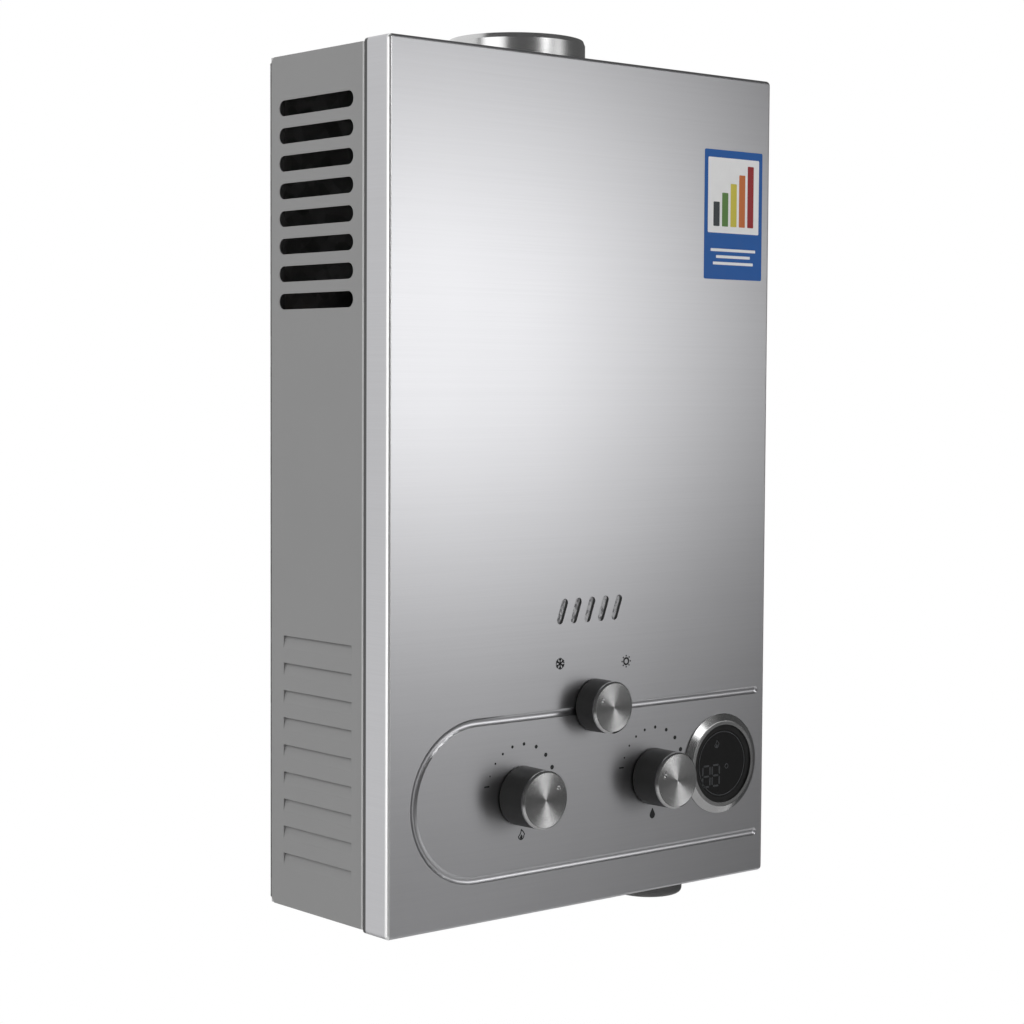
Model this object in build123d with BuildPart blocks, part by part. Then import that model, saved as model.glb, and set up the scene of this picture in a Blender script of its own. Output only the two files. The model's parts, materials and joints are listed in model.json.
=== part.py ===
from build123d import *
import math
import os

os.makedirs("parts", exist_ok=True)

# Wall-hung tankless gas water heater with a round flue collar on top, in millimetres.
# Z is up, the wall is the plane Y = 0 and the front panel faces -Y.
# The origin is the middle of the four wall screw holes.

# Case
CASE_W = 440.0  # across the side panels
CASE_H = 730.0  # from the bottom plate to the top plate
CASE_D = 170.0  # from the wall to the face of the front panel
SHEET = 0.8  # steel sheet of the case
BEND = 1.6  # outside radius of a fold
FLANGE = 14.0  # folded rear edge of a side panel
JOGGLE = 4.0  # how far a side panel's front lip is set in
LIP = 16.0  # length of the lips under the cover's returns
LIP_INSET = 8.0  # the top and bottom lips stop this far from the sides
TRAY_H = 12.0  # flanges round the top and bottom plates
TRIM_GAP = 1.0  # the side panels' flanges stop this far short of the plates' flanges
REAR_CORNER = 5.0  # clipped rear corners
LUG_SIDE = 122.0  # from a wall lug's middle to the side of the case
LUG_W = 44.0
LUG_H = 20.0  # height of a lug beyond the case
LUG_CORNER = 8.0
LUG_HOLE_R = 4.0
LUG_HOLE_OUT = 10.0  # height of a lug's hole beyond the case

# Front cover
COVER_D = 33.0  # depth of the cover's returns
COVER_OVER = 2.8  # height of the cover beyond the top and bottom plates
COVER_PROUD = 1.5  # the cover stands this far proud of the side panels
COVER_BEND = 3.0  # outside radius of the folds round the front panel
COVER_CORNER = 4.0  # radius of the panel's corners
SEAM = 2.6  # open line between the cover and a side panel
GROOVE_W = 7.0  # pressed groove round the controls
GROOVE_DEPTH = 1.4
GROOVE_TOP = 168.5  # height of its upper run above the bottom of the case
GROOVE_BOTTOM = 35.0
GROOVE_END = 11.0  # from its open ends to the right-hand side
GROOVE_LEFT = 25.5  # from its round end to the left-hand side
GROOVE_BREAK = 5.0  # the groove stops this far inside the season knob's rim
SIGHT_Z = 256.5  # row of slanted sight slots
SIGHT_COUNT = 5
SIGHT_PITCH = 16.0
SIGHT_L = 23.0
SIGHT_W = 7.0
SIGHT_LEAN = 20.0  # degrees from upright
GLASS_W = 104.0  # sheet of mica behind the slots
GLASS_H = 34.0
GLASS_T = 1.0
GLASS_CORNER = 3.0
SCREW_SIDE = 70.0  # from a cover screw to the side of the case
SCREW_R = 1.9
SCREW_L = 7.0
SCREW_HEAD_R = 3.8
SCREW_HEAD_H = 2.2
SCREW_GAP = 0.25  # round a screw's shank

# Side panel openings
VENT_COUNT = 8
VENT_PITCH = 23.4
VENT_L = 106.0
VENT_W = 13.4
VENT_TOP = 44.5  # from the top of the case to the first vent's middle
VENT_REAR = 14.0  # from the wall to the rear ends of the vents
LOUVRE_COUNT = 9
LOUVRE_PITCH = 23.6
LOUVRE_L = 100.0
LOUVRE_H = 11.0
LOUVRE_DEPTH = 3.2
LOUVRE_SAG = 0.5  # bow of a louvre's section
LOUVRE_BOTTOM = 46.6  # from the bottom of the case to the lowest louvre's slit
LOUVRE_REAR = 19.5

# Flue
FLUE_R = 62.0  # outside of the collar
FLUE_Y = -66.0
FLUE_UP = 28.0  # height of the collar above the case
FLUE_LIP = 4.0  # height of the drawn-in rim
FLUE_DRAW = 1.6
FLUE_SEAT = 3.0  # width of the seat on the top plate
FLUE_FIT = 0.3  # between the hood's neck and the collar
NECK_CLEAR = 20.0  # from the top of the hood's slope to the top plate
NECK_UP = 10.0  # height of the hood's neck inside the collar

# Burner, combustion chamber and heat exchanger, stacked on one footprint
CHAMBER_W = 300.0
CHAMBER_D = 110.0
CHAMBER_REAR = 10.0  # from the wall
CHAMBER_WALL = 1.0
BURNER_Z = 188.0  # underside of the burner frame above the bottom of the case
BURNER_H = 62.0
CHAMBER_H = 190.0
FIN_H = 66.0
FIN_COUNT = 21
FIN_T = 1.0
FIN_TUBE_W = 12.0
FIN_TUBE_H = 18.0
TUBE_R = 7.0
TUBE_WALL = 1.0
TUBE_PITCH = 28.0
BAR_COUNT = 10
BAR_PITCH = 28.0
BAR_T = 12.0
BAR_HEAD = 22.0  # height of a bar's wide head
BAR_NECK_T = 6.0
BAR_FOOT = 20.0  # height of the mixing tube at a bar's foot
PORT_COUNT = 9
PORT_PITCH = 11.0
PORT_W = 2.5
PORT_DEPTH = 6.0
MOUTH_R = 4.5
MOUTH_DEPTH = 40.0
MOUTH_Z = 12.0  # above the underside of the frame
RAIL_H = 24.0  # hat rails behind the chamber
RAIL_FOOT = 10.0
RAIL_LOW = 60.0  # lower rail above the bottom of the chamber
RAIL_UP = 90.0  # from the lower rail to the upper one
WINDOW_W = 84.0  # sight hole in the chamber
WINDOW_H = 14.0
WINDOW_UP = 12.0
ELECTRODE_X = 75.0
ELECTRODE_R = 3.5
ELECTRODE_OUT = 22.0
ELECTRODE_IN = 12.0
ELECTRODE_COLLAR_R = 7.0
ELECTRODE_COLLAR_T = 3.0
ELECTRODE_GAP = 0.3
WIRE_R = 0.9
WIRE_L = 24.0
THERMOSTAT_X = 60.0
THERMOSTAT_R = 8.5
THERMOSTAT_T = 7.0
THERMOSTAT_EAR = 34.0

# Gas manifold
MANIFOLD_L = 290.0
MANIFOLD_H = 18.0
MANIFOLD_GAP = 6.0  # from the burner frame to the manifold
MANIFOLD_EAR = 12.0
MANIFOLD_ROUND = 2.0
INJECTOR_R = 4.0
INJECTOR_L = 5.0
INJECTOR_BORE = 0.7

# Controls
KNOB_X = 77.7  # gas knob on the left, water knob on the right
KNOB_Z = 101.5  # above the bottom of the case
KNOB_R = 25.5
KNOB_L = 31.0
SEASON_X = 6.5  # season knob, right of the middle
SEASON_Z = 172.1
SEASON_R = 23.2
SEASON_L = 24.0
KNOB_GAP = 1.2  # between a knob and the front panel
KNOB_TAPER = 0.4
KNOB_WALL = 2.4
KNOB_HUB_R = 8.0
KNOB_HUB_L = 14.0
KNOB_FACE = 4.0  # wall behind the cap
CAP_T = 3.2
CAP_BEVEL = 1.5
DIMPLE_R = 3.0
DIMPLE_DEPTH = 1.3
DIMPLE_PLACE = 0.64  # share of the cap's radius
GAS_POINTER = 34.0  # degrees, anticlockwise from the right
WATER_POINTER = 160.0
SEASON_POINTER = 152.0
SPINDLE_R = 4.0
SPINDLE_FLAT = 3.0
SPINDLE_IN = 22.0  # spindle inside its valve
SPINDLE_END_GAP = 1.0
RUN_FIT = 0.05  # radial clearance of a turning or sliding shaft
SPINDLE_HOLE_R = 6.5  # in the front panel

# Valves
VALVE_W = 56.0
VALVE_D = 66.0
VALVE_H = 60.0
VALVE_Y = -113.0
VALVE_CORNER = 8.0
BONNET_R = 13.0
BONNET_L = 8.0
SOLENOID_R = 15.0
SOLENOID_L = 40.0
SOLENOID_CAP_R = 17.0
SOLENOID_CAP_L = 6.0
SOLENOID_CHAMFER = 1.5
RISER_R = 9.0
RISER_PLATE = 28.0
RISER_PLATE_T = 3.0
RISER_PLATE_D = 22.0
RISER_CORNER = 4.0
SEASON_VALVE_R = 16.0
SEASON_VALVE_L = 22.0
SEASON_SPINDLE_IN = 12.0
SEASON_NECK = 14.0
CHAMBER_CUP_R = 38.0  # diaphragm chamber of the water valve
CHAMBER_CUP_L = 14.0
CUP_WALL = 4.0
RUBBER_T = 1.2
ROD_R = 3.0
ROD_TRAVEL = 4.0
ROD_BOSS_R = 9.0
ROD_BOSS_L = 8.0
ROD_END_GAP = 4.0
ROD_IN_GAS = 10.0
ROD_PLATE_R = 26.0
ROD_PLATE_T = 3.0
ROD_PLATE_GAP = 0.5
ROD_COLLAR_R = 7.0
ROD_COLLAR_T = 6.0
ROD_COLLAR_OUT = 28.0  # from the gas valve to the collar
SWITCH_W = 28.0
SWITCH_D = 10.0
SWITCH_H = 16.0
SWITCH_UP = 22.0  # above the rod
SWITCH_EAR_T = 1.5
SWITCH_EAR_DROP = 5.0
SWITCH_EAR_W = 6.0
LEVER_T = 0.8
LEVER_GAP = 0.4
LEVER_W = 5.0
LEVER_PIN_R = 1.0
LEVER_UP = 18.5  # pivot above the rod
LEVER_END = 4.5  # free end above the rod
BRACKET_T = 1.0
BRACKET_H = 24.0
SHELF_T = 1.5
SHELF_SIDE = 6.0  # the shelf's edge beyond the valves
SHELF_TURN = 26.0
SHELF_HOLE_GAP = 3.0
CUP_GAP = 1.5  # round the diaphragm chamber in the shelf

# Drain
DRAIN_X = 62.0
DRAIN_Y = -102.0
DRAIN_R = 8.0
DRAIN_STEM_R = 4.0
DRAIN_STEM_L = 12.0
DRAIN_OUT = 5.0  # body below the case
DRAIN_KNOB_R = 9.0
DRAIN_KNOB_H = 11.0
DRAIN_FLUTES = 8
DRAIN_FLUTE_R = 1.6
DRAIN_GAP = 0.4

# Pipes and fittings
PIPE_R = 9.0
PIPE_WALL = 1.0
PIPE_BEND = 22.0
HOT_STEP = 50.0  # from the left-hand pipe in to the hot outlet
SIDE_BEND_SHARE = 0.6  # bend into the exchanger, as a share of the room beside the chamber
CROSS_Z = 158.0  # where they cross under the burner
FITTING_R = 10.48  # outside of a half-inch pipe thread
FITTING_BORE = 6.0
FITTING_SHANK_R = 12.0  # through the plate and the locknut
FITTING_SOCKET_R = 11.5  # above the flange, under the pipe
FITTING_DOWN = 30.0  # below the case
FITTING_FLANGE_R = 15.0
FITTING_FLANGE_T = 3.0
FITTING_UP = 14.0
FITTING_GAP = 0.3
FITTING_HOLE_GAP = 0.5
NUT_ACROSS = 30.0
NUT_T = 6.0
THREAD_CHAMFER = 1.0

# Igniter and batteries
IGNITER_W = 58.0
IGNITER_D = 27.0
IGNITER_H = 88.0
IGNITER_SIDE = 70.0  # from its middle to the left-hand side
IGNITER_Z = 40.0
IGNITER_ROUND = 3.0
BATTERY_SIDE = 81.0  # from its middle to the right-hand side
BATTERY_Y = -100.0
CELL_R = 16.6
CELL_L = 61.0
CELL_TIP_R = 5.0
CELL_TIP_L = 1.5
CELL_GAP = 0.6
CELL_SPACE = 0.1  # between the cells' ends
BATTERY_WALL = 2.0
BATTERY_FLANGE = 6.0
BATTERY_FLANGE_T = 2.0
BATTERY_NECK = 12.0  # neck of the tube below the case
BATTERY_HOLE_GAP = 0.5
BATTERY_CAP_R = 32.5
BATTERY_CAP_H = 23.5
BATTERY_CAP_GAP = 0.8  # between the cap and the case
BATTERY_CAP_ROUND = 5.0
BATTERY_CAP_FIT = 0.08
BATTERY_CAP_LIFT = 0.3  # between the tube's end and the floor of the cap
GRIP_W = 9.0
GRIP_DEPTH = 3.0
GRIP_L = 34.0

# Display
DISPLAY_SIDE = 57.0  # from its middle to the right-hand side
DISPLAY_Z = 104.5
BEZEL_R = 46.0
BEZEL_TOP_R = 39.5
BEZEL_H = 5.0
BEZEL_EDGE = 1.2  # upright edge at the foot of the bezel's cone
BEZEL_ROUND = 1.5
BEZEL_NECK_R = 34.5
BEZEL_NECK_L = 14.0
BEZEL_HOLE_GAP = 0.4
LENS_R = 36.0
LENS_T = 2.0
LENS_SINK = 2.0
LENS_FIT = 0.1
MODULE_WALL = 1.6
MODULE_L = 18.0
MODULE_FIT = 0.1

# Places that follow from the sizes above
TOP = CASE_H / 2
BOTTOM = -CASE_H / 2
LEFT = -CASE_W / 2
RIGHT = CASE_W / 2
FRONT = -CASE_D
INNER_FRONT = FRONT + SHEET
LUG_X = RIGHT - LUG_SIDE
SCREW_X = RIGHT - SCREW_SIDE
IGNITER_X = LEFT + IGNITER_SIDE
BATTERY_X = RIGHT - BATTERY_SIDE
DISPLAY_X = RIGHT - DISPLAY_SIDE
SIDE_PIPE_X = (RIGHT + CHAMBER_W / 2) / 2  # pipes run midway between chamber and case
SIDE_BEND = SIDE_BEND_SHARE * (SIDE_PIPE_X - CHAMBER_W / 2)
HOT_X = HOT_STEP - SIDE_PIPE_X
REAR = -SHEET
COVER_W = CASE_W + 2 * COVER_PROUD
COVER_H = CASE_H + 2 * COVER_OVER
COVER_TOP = COVER_H / 2
LIP_TOP = COVER_TOP - SHEET
COVER_EDGE = FRONT + COVER_D
SIDE_EDGE = COVER_EDGE + SEAM
LIP_FRONT = COVER_EDGE - LIP
SCREW_Y = (COVER_EDGE + LIP_FRONT) / 2
VALVE_Z = BOTTOM + KNOB_Z
VALVE_FRONT = VALVE_Y - VALVE_D / 2
VALVE_REAR = VALVE_Y + VALVE_D / 2
VALVE_TOP = VALVE_Z + VALVE_H / 2
VALVE_FOOT = VALVE_Z - VALVE_H / 2
CHAMBER_BACK = -CHAMBER_REAR
CHAMBER_FRONT = CHAMBER_BACK - CHAMBER_D
CHAMBER_Y = (CHAMBER_BACK + CHAMBER_FRONT) / 2
FRAME_Z = BOTTOM + BURNER_Z
CHAMBER_Z = FRAME_Z + BURNER_H
FIN_Z = CHAMBER_Z + CHAMBER_H
HOOD_Z = FIN_Z + FIN_H
FIN_MID = FIN_Z + FIN_H / 2
MANIFOLD_Y = CHAMBER_FRONT - MANIFOLD_GAP - MANIFOLD_H / 2
MANIFOLD_Z = FRAME_Z + MOUTH_Z
MANIFOLD_FOOT = MANIFOLD_Z - MANIFOLD_H / 2
CUP_RIGHT = KNOB_X - VALVE_W / 2
CUP_LEFT = CUP_RIGHT - CHAMBER_CUP_L
COVER_RIGHT = CUP_LEFT - RUBBER_T
COVER_LEFT = COVER_RIGHT - CHAMBER_CUP_L
GAS_RIGHT = VALVE_W / 2 - KNOB_X
ROD_COLLAR_X = GAS_RIGHT + ROD_COLLAR_OUT
TUBE_YS = [CHAMBER_Y - TUBE_PITCH, CHAMBER_Y, CHAMBER_Y + TUBE_PITCH]
PIPE_Y = TUBE_YS[-1]


def facing(x, y, z):
    """Sketch plane seen from the front, with its own X to the right and its own Y up."""
    return Plane(origin=(x, y, z), x_dir=(1, 0, 0), z_dir=(0, -1, 0))


def sideways(x, y, z):
    """Sketch plane seen from the right, with its own X to the rear and its own Y up."""
    return Plane(origin=(x, y, z), x_dir=(0, 1, 0), z_dir=(1, 0, 0))


def level(x, y, z):
    """Sketch plane seen from above."""
    return Plane(origin=(x, y, z), x_dir=(1, 0, 0), z_dir=(0, 0, 1))


def save(piece, name):
    """Label a finished piece and write it under its own name."""
    piece.part.label = name
    export_step(piece.part, f"parts/{name}.step")


# Back plate with its wall lugs
with BuildPart() as back_plate:
    with BuildSketch(facing(0, 0, 0)) as plate_outline:
        Rectangle(CASE_W, CASE_H)
        chamfer(plate_outline.vertices(), length=REAR_CORNER)
        with GridLocations(2 * LUG_X, CASE_H, 2, 2):
            RectangleRounded(LUG_W, 2 * LUG_H, LUG_CORNER)
        with GridLocations(2 * LUG_X, CASE_H + 2 * LUG_HOLE_OUT, 2, 2):
            Circle(LUG_HOLE_R, mode=Mode.SUBTRACT)
    extrude(amount=SHEET)
save(back_plate, "back_plate")

# Side panels: folded sheet with a row of vents above and pressed-in louvres below
VENT_Y = -VENT_REAR - VENT_L / 2
LOUVRE_Y = -LOUVRE_REAR - LOUVRE_L / 2
LOUVRE_ZS = [BOTTOM + LOUVRE_BOTTOM + i * LOUVRE_PITCH for i in range(LOUVRE_COUNT)]
TRIM = TRAY_H + TRIM_GAP
with BuildPart() as left_side_panel:
    with BuildSketch(Plane.XY.offset(BOTTOM)):
        with BuildLine():
            FilletPolyline(
                (LEFT + FLANGE, REAR),
                (LEFT, REAR),
                (LEFT, SIDE_EDGE),
                (LEFT + JOGGLE, SIDE_EDGE),
                (LEFT + JOGGLE, LIP_FRONT),
                radius=BEND,
            )
            offset(amount=SHEET, side=Side.LEFT)
        make_face()
    extrude(amount=CASE_H)
    with Locations((LEFT + SHEET, REAR, TOP), (LEFT + SHEET, REAR, BOTTOM)):
        Box(
            FLANGE,
            CASE_D,
            2 * TRIM,
            align=(Align.MIN, Align.MAX, Align.CENTER),
            mode=Mode.SUBTRACT,
        )
    for end in (1, -1):
        with BuildSketch(sideways(LEFT, REAR, end * TOP)):
            Polygon((0, 0), (-REAR_CORNER, 0), (0, -end * REAR_CORNER), align=None)
        extrude(amount=FLANGE, mode=Mode.SUBTRACT)
    with BuildSketch(sideways(LEFT, VENT_Y, TOP - VENT_TOP)):
        with Locations(*[(0, -i * VENT_PITCH) for i in range(VENT_COUNT)]):
            SlotOverall(VENT_L, VENT_W)
    extrude(amount=2 * SHEET, both=True, mode=Mode.SUBTRACT)
    for z in LOUVRE_ZS:
        with BuildSketch(facing(LEFT, LOUVRE_Y, z)):
            with BuildLine():
                SagittaArc((SHEET, -LOUVRE_H), (SHEET + LOUVRE_DEPTH, 0), LOUVRE_SAG)
                Polyline((SHEET + LOUVRE_DEPTH, 0), (0, 0), (0, -LOUVRE_H), (SHEET, -LOUVRE_H))
            make_face()
        extrude(amount=LOUVRE_L / 2, both=True)
    for z in LOUVRE_ZS:
        with BuildSketch(facing(LEFT, LOUVRE_Y, z)):
            with BuildLine():
                SagittaArc((0, -LOUVRE_H), (LOUVRE_DEPTH, 0), LOUVRE_SAG)
                Polyline((LOUVRE_DEPTH, 0), (0, 0), (0, -LOUVRE_H))
            make_face()
        extrude(amount=LOUVRE_L / 2 - SHEET, both=True, mode=Mode.SUBTRACT)
save(left_side_panel, "left_side_panel")

with BuildPart() as right_side_panel:
    mirror(left_side_panel.part, about=Plane.YZ)
save(right_side_panel, "right_side_panel")


def folded_plate():
    """Top plate's sheet: flanges down three sides and a raised lip under the cover."""
    with BuildPart() as plate:
        with BuildSketch(sideways(0, REAR, TOP)):
            Rectangle(REAR - SIDE_EDGE, SHEET, align=(Align.MAX, Align.MAX))
            Rectangle(SHEET, TRAY_H, align=(Align.MAX, Align.MAX))
        extrude(amount=RIGHT - SHEET, both=True)
        with BuildSketch(sideways(0, SIDE_EDGE + SHEET, LIP_TOP)):
            Rectangle(SHEET + SEAM + LIP, SHEET, align=(Align.MAX, Align.MAX))
            Rectangle(SHEET, LIP_TOP - TOP + SHEET, align=(Align.MAX, Align.MAX))
        extrude(amount=RIGHT - LIP_INSET, both=True)
        for side, align in ((LEFT + SHEET, Align.MIN), (RIGHT - SHEET, Align.MAX)):
            with Locations((side, REAR, TOP)):
                Box(SHEET, REAR - SIDE_EDGE, TRAY_H, align=(align, Align.MAX, Align.MAX))
        with BuildSketch(level(0, SCREW_Y, LIP_TOP)):
            with GridLocations(2 * SCREW_X, 0, 2, 1):
                Circle(SCREW_R + SCREW_GAP)
        extrude(amount=-SHEET, mode=Mode.SUBTRACT)
    return plate.part


# Top plate with the hole under the flue collar
with BuildPart() as top_plate:
    add(folded_plate())
    with BuildSketch(level(0, FLUE_Y, TOP)):
        Circle(FLUE_R - SHEET)
    extrude(amount=-SHEET, mode=Mode.SUBTRACT)
save(top_plate, "top_plate")

# Bottom plate with holes for the fittings, the battery tube and the drain
BATTERY_TUBE_R = CELL_R + CELL_GAP + BATTERY_WALL
FITTING_XS = [HOT_X, -KNOB_X, KNOB_X]
with BuildPart() as bottom_plate:
    mirror(folded_plate(), about=Plane.XY)
    with BuildSketch(level(0, 0, BOTTOM)):
        with Locations(*[(x, PIPE_Y) for x in FITTING_XS]):
            Circle(FITTING_SHANK_R + FITTING_HOLE_GAP)
        with Locations((BATTERY_X, BATTERY_Y)):
            Circle(BATTERY_TUBE_R + BATTERY_HOLE_GAP)
        with Locations((DRAIN_X, DRAIN_Y)):
            Circle(DRAIN_R + DRAIN_GAP)
    extrude(amount=SHEET, mode=Mode.SUBTRACT)
save(bottom_plate, "bottom_plate")

# Front cover: a shallow tray with the groove pressed in round the controls
GROOVE_R = (GROOVE_W**2 / 4 + GROOVE_DEPTH**2) / (2 * GROOVE_DEPTH)
GROOVE_Y = FRONT - GROOVE_R + GROOVE_DEPTH
GROOVE_UPPER = BOTTOM + GROOVE_TOP
GROOVE_LOWER = BOTTOM + GROOVE_BOTTOM
GROOVE_ROUND = (GROOVE_UPPER - GROOVE_LOWER) / 2
GROOVE_START = RIGHT - GROOVE_END
GROOVE_TURN = LEFT + GROOVE_LEFT + GROOVE_ROUND
GROOVE_STOP = SEASON_R - GROOVE_BREAK


def groove(radius):
    """Round bar along the groove's two runs, with round ends."""
    upper_right = (GROOVE_START, GROOVE_Y, GROOVE_UPPER)
    right_stop = (SEASON_X + GROOVE_STOP, GROOVE_Y, GROOVE_UPPER)
    left_stop = (SEASON_X - GROOVE_STOP, GROOVE_Y, GROOVE_UPPER)
    upper_turn = (GROOVE_TURN, GROOVE_Y, GROOVE_UPPER)
    middle = (GROOVE_TURN - GROOVE_ROUND, GROOVE_Y, GROOVE_UPPER - GROOVE_ROUND)
    lower_turn = (GROOVE_TURN, GROOVE_Y, GROOVE_LOWER)
    lower_right = (GROOVE_START, GROOVE_Y, GROOVE_LOWER)
    with BuildPart() as bar:
        with BuildLine():
            Line(upper_right, right_stop)
        with BuildSketch(Plane(origin=upper_right, z_dir=(-1, 0, 0))):
            Circle(radius)
        sweep()
        with BuildLine():
            Line(left_stop, upper_turn)
            ThreePointArc(upper_turn, middle, lower_turn)
            Line(lower_turn, lower_right)
        with BuildSketch(Plane(origin=left_stop, z_dir=(-1, 0, 0))):
            Circle(radius)
        sweep()
        with Locations(upper_right, right_stop, left_stop, lower_right):
            Sphere(radius)
    return bar.part


with BuildPart() as front_cover:
    with BuildSketch(facing(0, FRONT, 0)):
        RectangleRounded(COVER_W, COVER_H, COVER_CORNER)
    extrude(amount=-COVER_D)
    fillet(front_cover.faces().sort_by(Axis.Y)[0].edges(), radius=COVER_BEND)
    offset(amount=-SHEET, openings=front_cover.faces().sort_by(Axis.Y)[-1])
    add(groove(GROOVE_R + SHEET))
    with BuildSketch(facing(0, FRONT, 0)):
        Rectangle(COVER_W, COVER_H)
    extrude(amount=2 * GROOVE_R, mode=Mode.SUBTRACT)
    add(groove(GROOVE_R), mode=Mode.SUBTRACT)
    with BuildSketch(facing(0, FRONT, BOTTOM)):
        with Locations((-KNOB_X, KNOB_Z), (KNOB_X, KNOB_Z), (SEASON_X, SEASON_Z)):
            Circle(SPINDLE_HOLE_R)
        with Locations((DISPLAY_X, DISPLAY_Z)):
            Circle(BEZEL_NECK_R + BEZEL_HOLE_GAP)
        with Locations((0, SIGHT_Z)):
            with GridLocations(SIGHT_PITCH, 0, SIGHT_COUNT, 1):
                SlotOverall(SIGHT_L, SIGHT_W, rotation=90 - SIGHT_LEAN)
    extrude(amount=-2 * SHEET, mode=Mode.SUBTRACT)
    with BuildSketch(level(0, SCREW_Y, 0)):
        with GridLocations(2 * SCREW_X, 0, 2, 1):
            Circle(SCREW_R + SCREW_GAP)
    extrude(amount=COVER_H, both=True, mode=Mode.SUBTRACT)
save(front_cover, "front_cover")

# Screws through the cover's upper and lower returns
with BuildPart() as cover_screws:
    for end in (1, -1):
        with BuildSketch(level(0, SCREW_Y, end * COVER_TOP)):
            with GridLocations(2 * SCREW_X, 0, 2, 1):
                Circle(SCREW_HEAD_R)
        extrude(amount=end * SCREW_HEAD_H)
        with BuildSketch(level(0, SCREW_Y, end * COVER_TOP)):
            with GridLocations(2 * SCREW_X, 0, 2, 1):
                Circle(SCREW_R)
        extrude(amount=-end * SCREW_L)
        rim = -1 if end > 0 else 0
        chamfer(cover_screws.edges().group_by(Axis.Z)[rim], length=SCREW_HEAD_H / 2)
save(cover_screws, "cover_screws")

# Mica sheet behind the sight slots
with BuildPart() as sight_mica:
    with BuildSketch(facing(0, INNER_FRONT, BOTTOM + SIGHT_Z)):
        RectangleRounded(GLASS_W, GLASS_H, GLASS_CORNER)
    extrude(amount=-GLASS_T)
save(sight_mica, "sight_mica")

# Flue collar with a seat on the top plate and a drawn-in rim
with BuildPart() as flue_collar:
    with BuildSketch(facing(0, FLUE_Y, TOP)):
        with BuildLine():
            Polyline(
                (FLUE_R - SHEET, 0),
                (FLUE_R + FLUE_SEAT, 0),
                (FLUE_R + FLUE_SEAT, SHEET),
                (FLUE_R, SHEET),
                (FLUE_R, FLUE_UP - FLUE_LIP),
                (FLUE_R - FLUE_DRAW, FLUE_UP),
                (FLUE_R - FLUE_DRAW - SHEET, FLUE_UP),
                (FLUE_R - SHEET, FLUE_UP - FLUE_LIP),
                close=True,
            )
        make_face()
    revolve(axis=Axis((0, FLUE_Y, 0), (0, 0, 1)))
save(flue_collar, "flue_collar")

# Flue hood, from the exchanger's rectangle to the round neck inside the collar
NECK_R = FLUE_R - SHEET - FLUE_FIT
NECK_Z = TOP - NECK_CLEAR
with BuildPart() as flue_hood:
    for wall, mode in ((0, Mode.ADD), (SHEET, Mode.SUBTRACT)):
        with BuildSketch(level(0, CHAMBER_Y, HOOD_Z)):
            Rectangle(CHAMBER_W - 2 * wall, CHAMBER_D - 2 * wall)
        with BuildSketch(level(0, FLUE_Y, NECK_Z)):
            Circle(NECK_R - wall)
        loft(ruled=True, mode=mode)
    with BuildSketch(level(0, FLUE_Y, NECK_Z)):
        Circle(NECK_R)
        Circle(NECK_R - SHEET, mode=Mode.SUBTRACT)
    extrude(amount=NECK_CLEAR + NECK_UP)
save(flue_hood, "flue_hood")

# Heat exchanger: thin upright fins between two long walls, with three flat water tubes
FIN_PITCH = (CHAMBER_W - FIN_T) / (FIN_COUNT - 1)
with BuildPart() as fin_block:
    with BuildSketch(level(0, CHAMBER_Y, FIN_Z)):
        with GridLocations(FIN_PITCH, 0, FIN_COUNT, 1):
            Rectangle(FIN_T, CHAMBER_D)
        with GridLocations(0, CHAMBER_D - CHAMBER_WALL, 1, 2):
            Rectangle(CHAMBER_W, CHAMBER_WALL)
    extrude(amount=FIN_H)
    with BuildSketch(sideways(0, 0, FIN_MID)):
        with Locations(*[(y, 0) for y in TUBE_YS]):
            Rectangle(FIN_TUBE_W, FIN_TUBE_H)
    extrude(amount=CHAMBER_W / 2, both=True)
save(fin_block, "fin_block")

# Return bends that join the water tubes at the exchanger's ends
with BuildPart() as return_bends:
    for x, front, turn in ((-CHAMBER_W / 2, TUBE_YS[0], -180), (CHAMBER_W / 2, TUBE_YS[1], 180)):
        with BuildSketch(sideways(x, front, FIN_MID)):
            Circle(TUBE_R)
        revolve(axis=Axis((x, front + TUBE_PITCH / 2, 0), (0, 0, 1)), revolution_arc=turn)
save(return_bends, "return_bends")

# Combustion chamber with its sight hole and electrode holes
with BuildPart() as combustion_chamber:
    with BuildSketch(level(0, CHAMBER_Y, CHAMBER_Z)):
        Rectangle(CHAMBER_W, CHAMBER_D)
        Rectangle(CHAMBER_W - 2 * CHAMBER_WALL, CHAMBER_D - 2 * CHAMBER_WALL, mode=Mode.SUBTRACT)
    extrude(amount=CHAMBER_H)
    with BuildSketch(facing(0, CHAMBER_FRONT, CHAMBER_Z + WINDOW_UP)):
        SlotOverall(WINDOW_W, WINDOW_H)
        with GridLocations(2 * ELECTRODE_X, 0, 2, 1):
            Circle(ELECTRODE_R + ELECTRODE_GAP)
    extrude(amount=-CHAMBER_WALL, mode=Mode.SUBTRACT)
save(combustion_chamber, "combustion_chamber")

# Hat rails that carry the chamber on the back plate
with BuildPart() as mounting_rails:
    for z in (CHAMBER_Z + RAIL_LOW, CHAMBER_Z + RAIL_LOW + RAIL_UP):
        with BuildSketch(sideways(0, 0, z)):
            with BuildLine():
                Polyline(
                    (REAR, -RAIL_H / 2 - RAIL_FOOT),
                    (REAR, -RAIL_H / 2),
                    (CHAMBER_BACK + SHEET, -RAIL_H / 2),
                    (CHAMBER_BACK + SHEET, RAIL_H / 2),
                    (REAR, RAIL_H / 2),
                    (REAR, RAIL_H / 2 + RAIL_FOOT),
                )
                offset(amount=SHEET, side=Side.LEFT, kind=Kind.INTERSECTION)
            make_face()
        extrude(amount=CHAMBER_W / 2, both=True)
save(mounting_rails, "mounting_rails")

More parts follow.
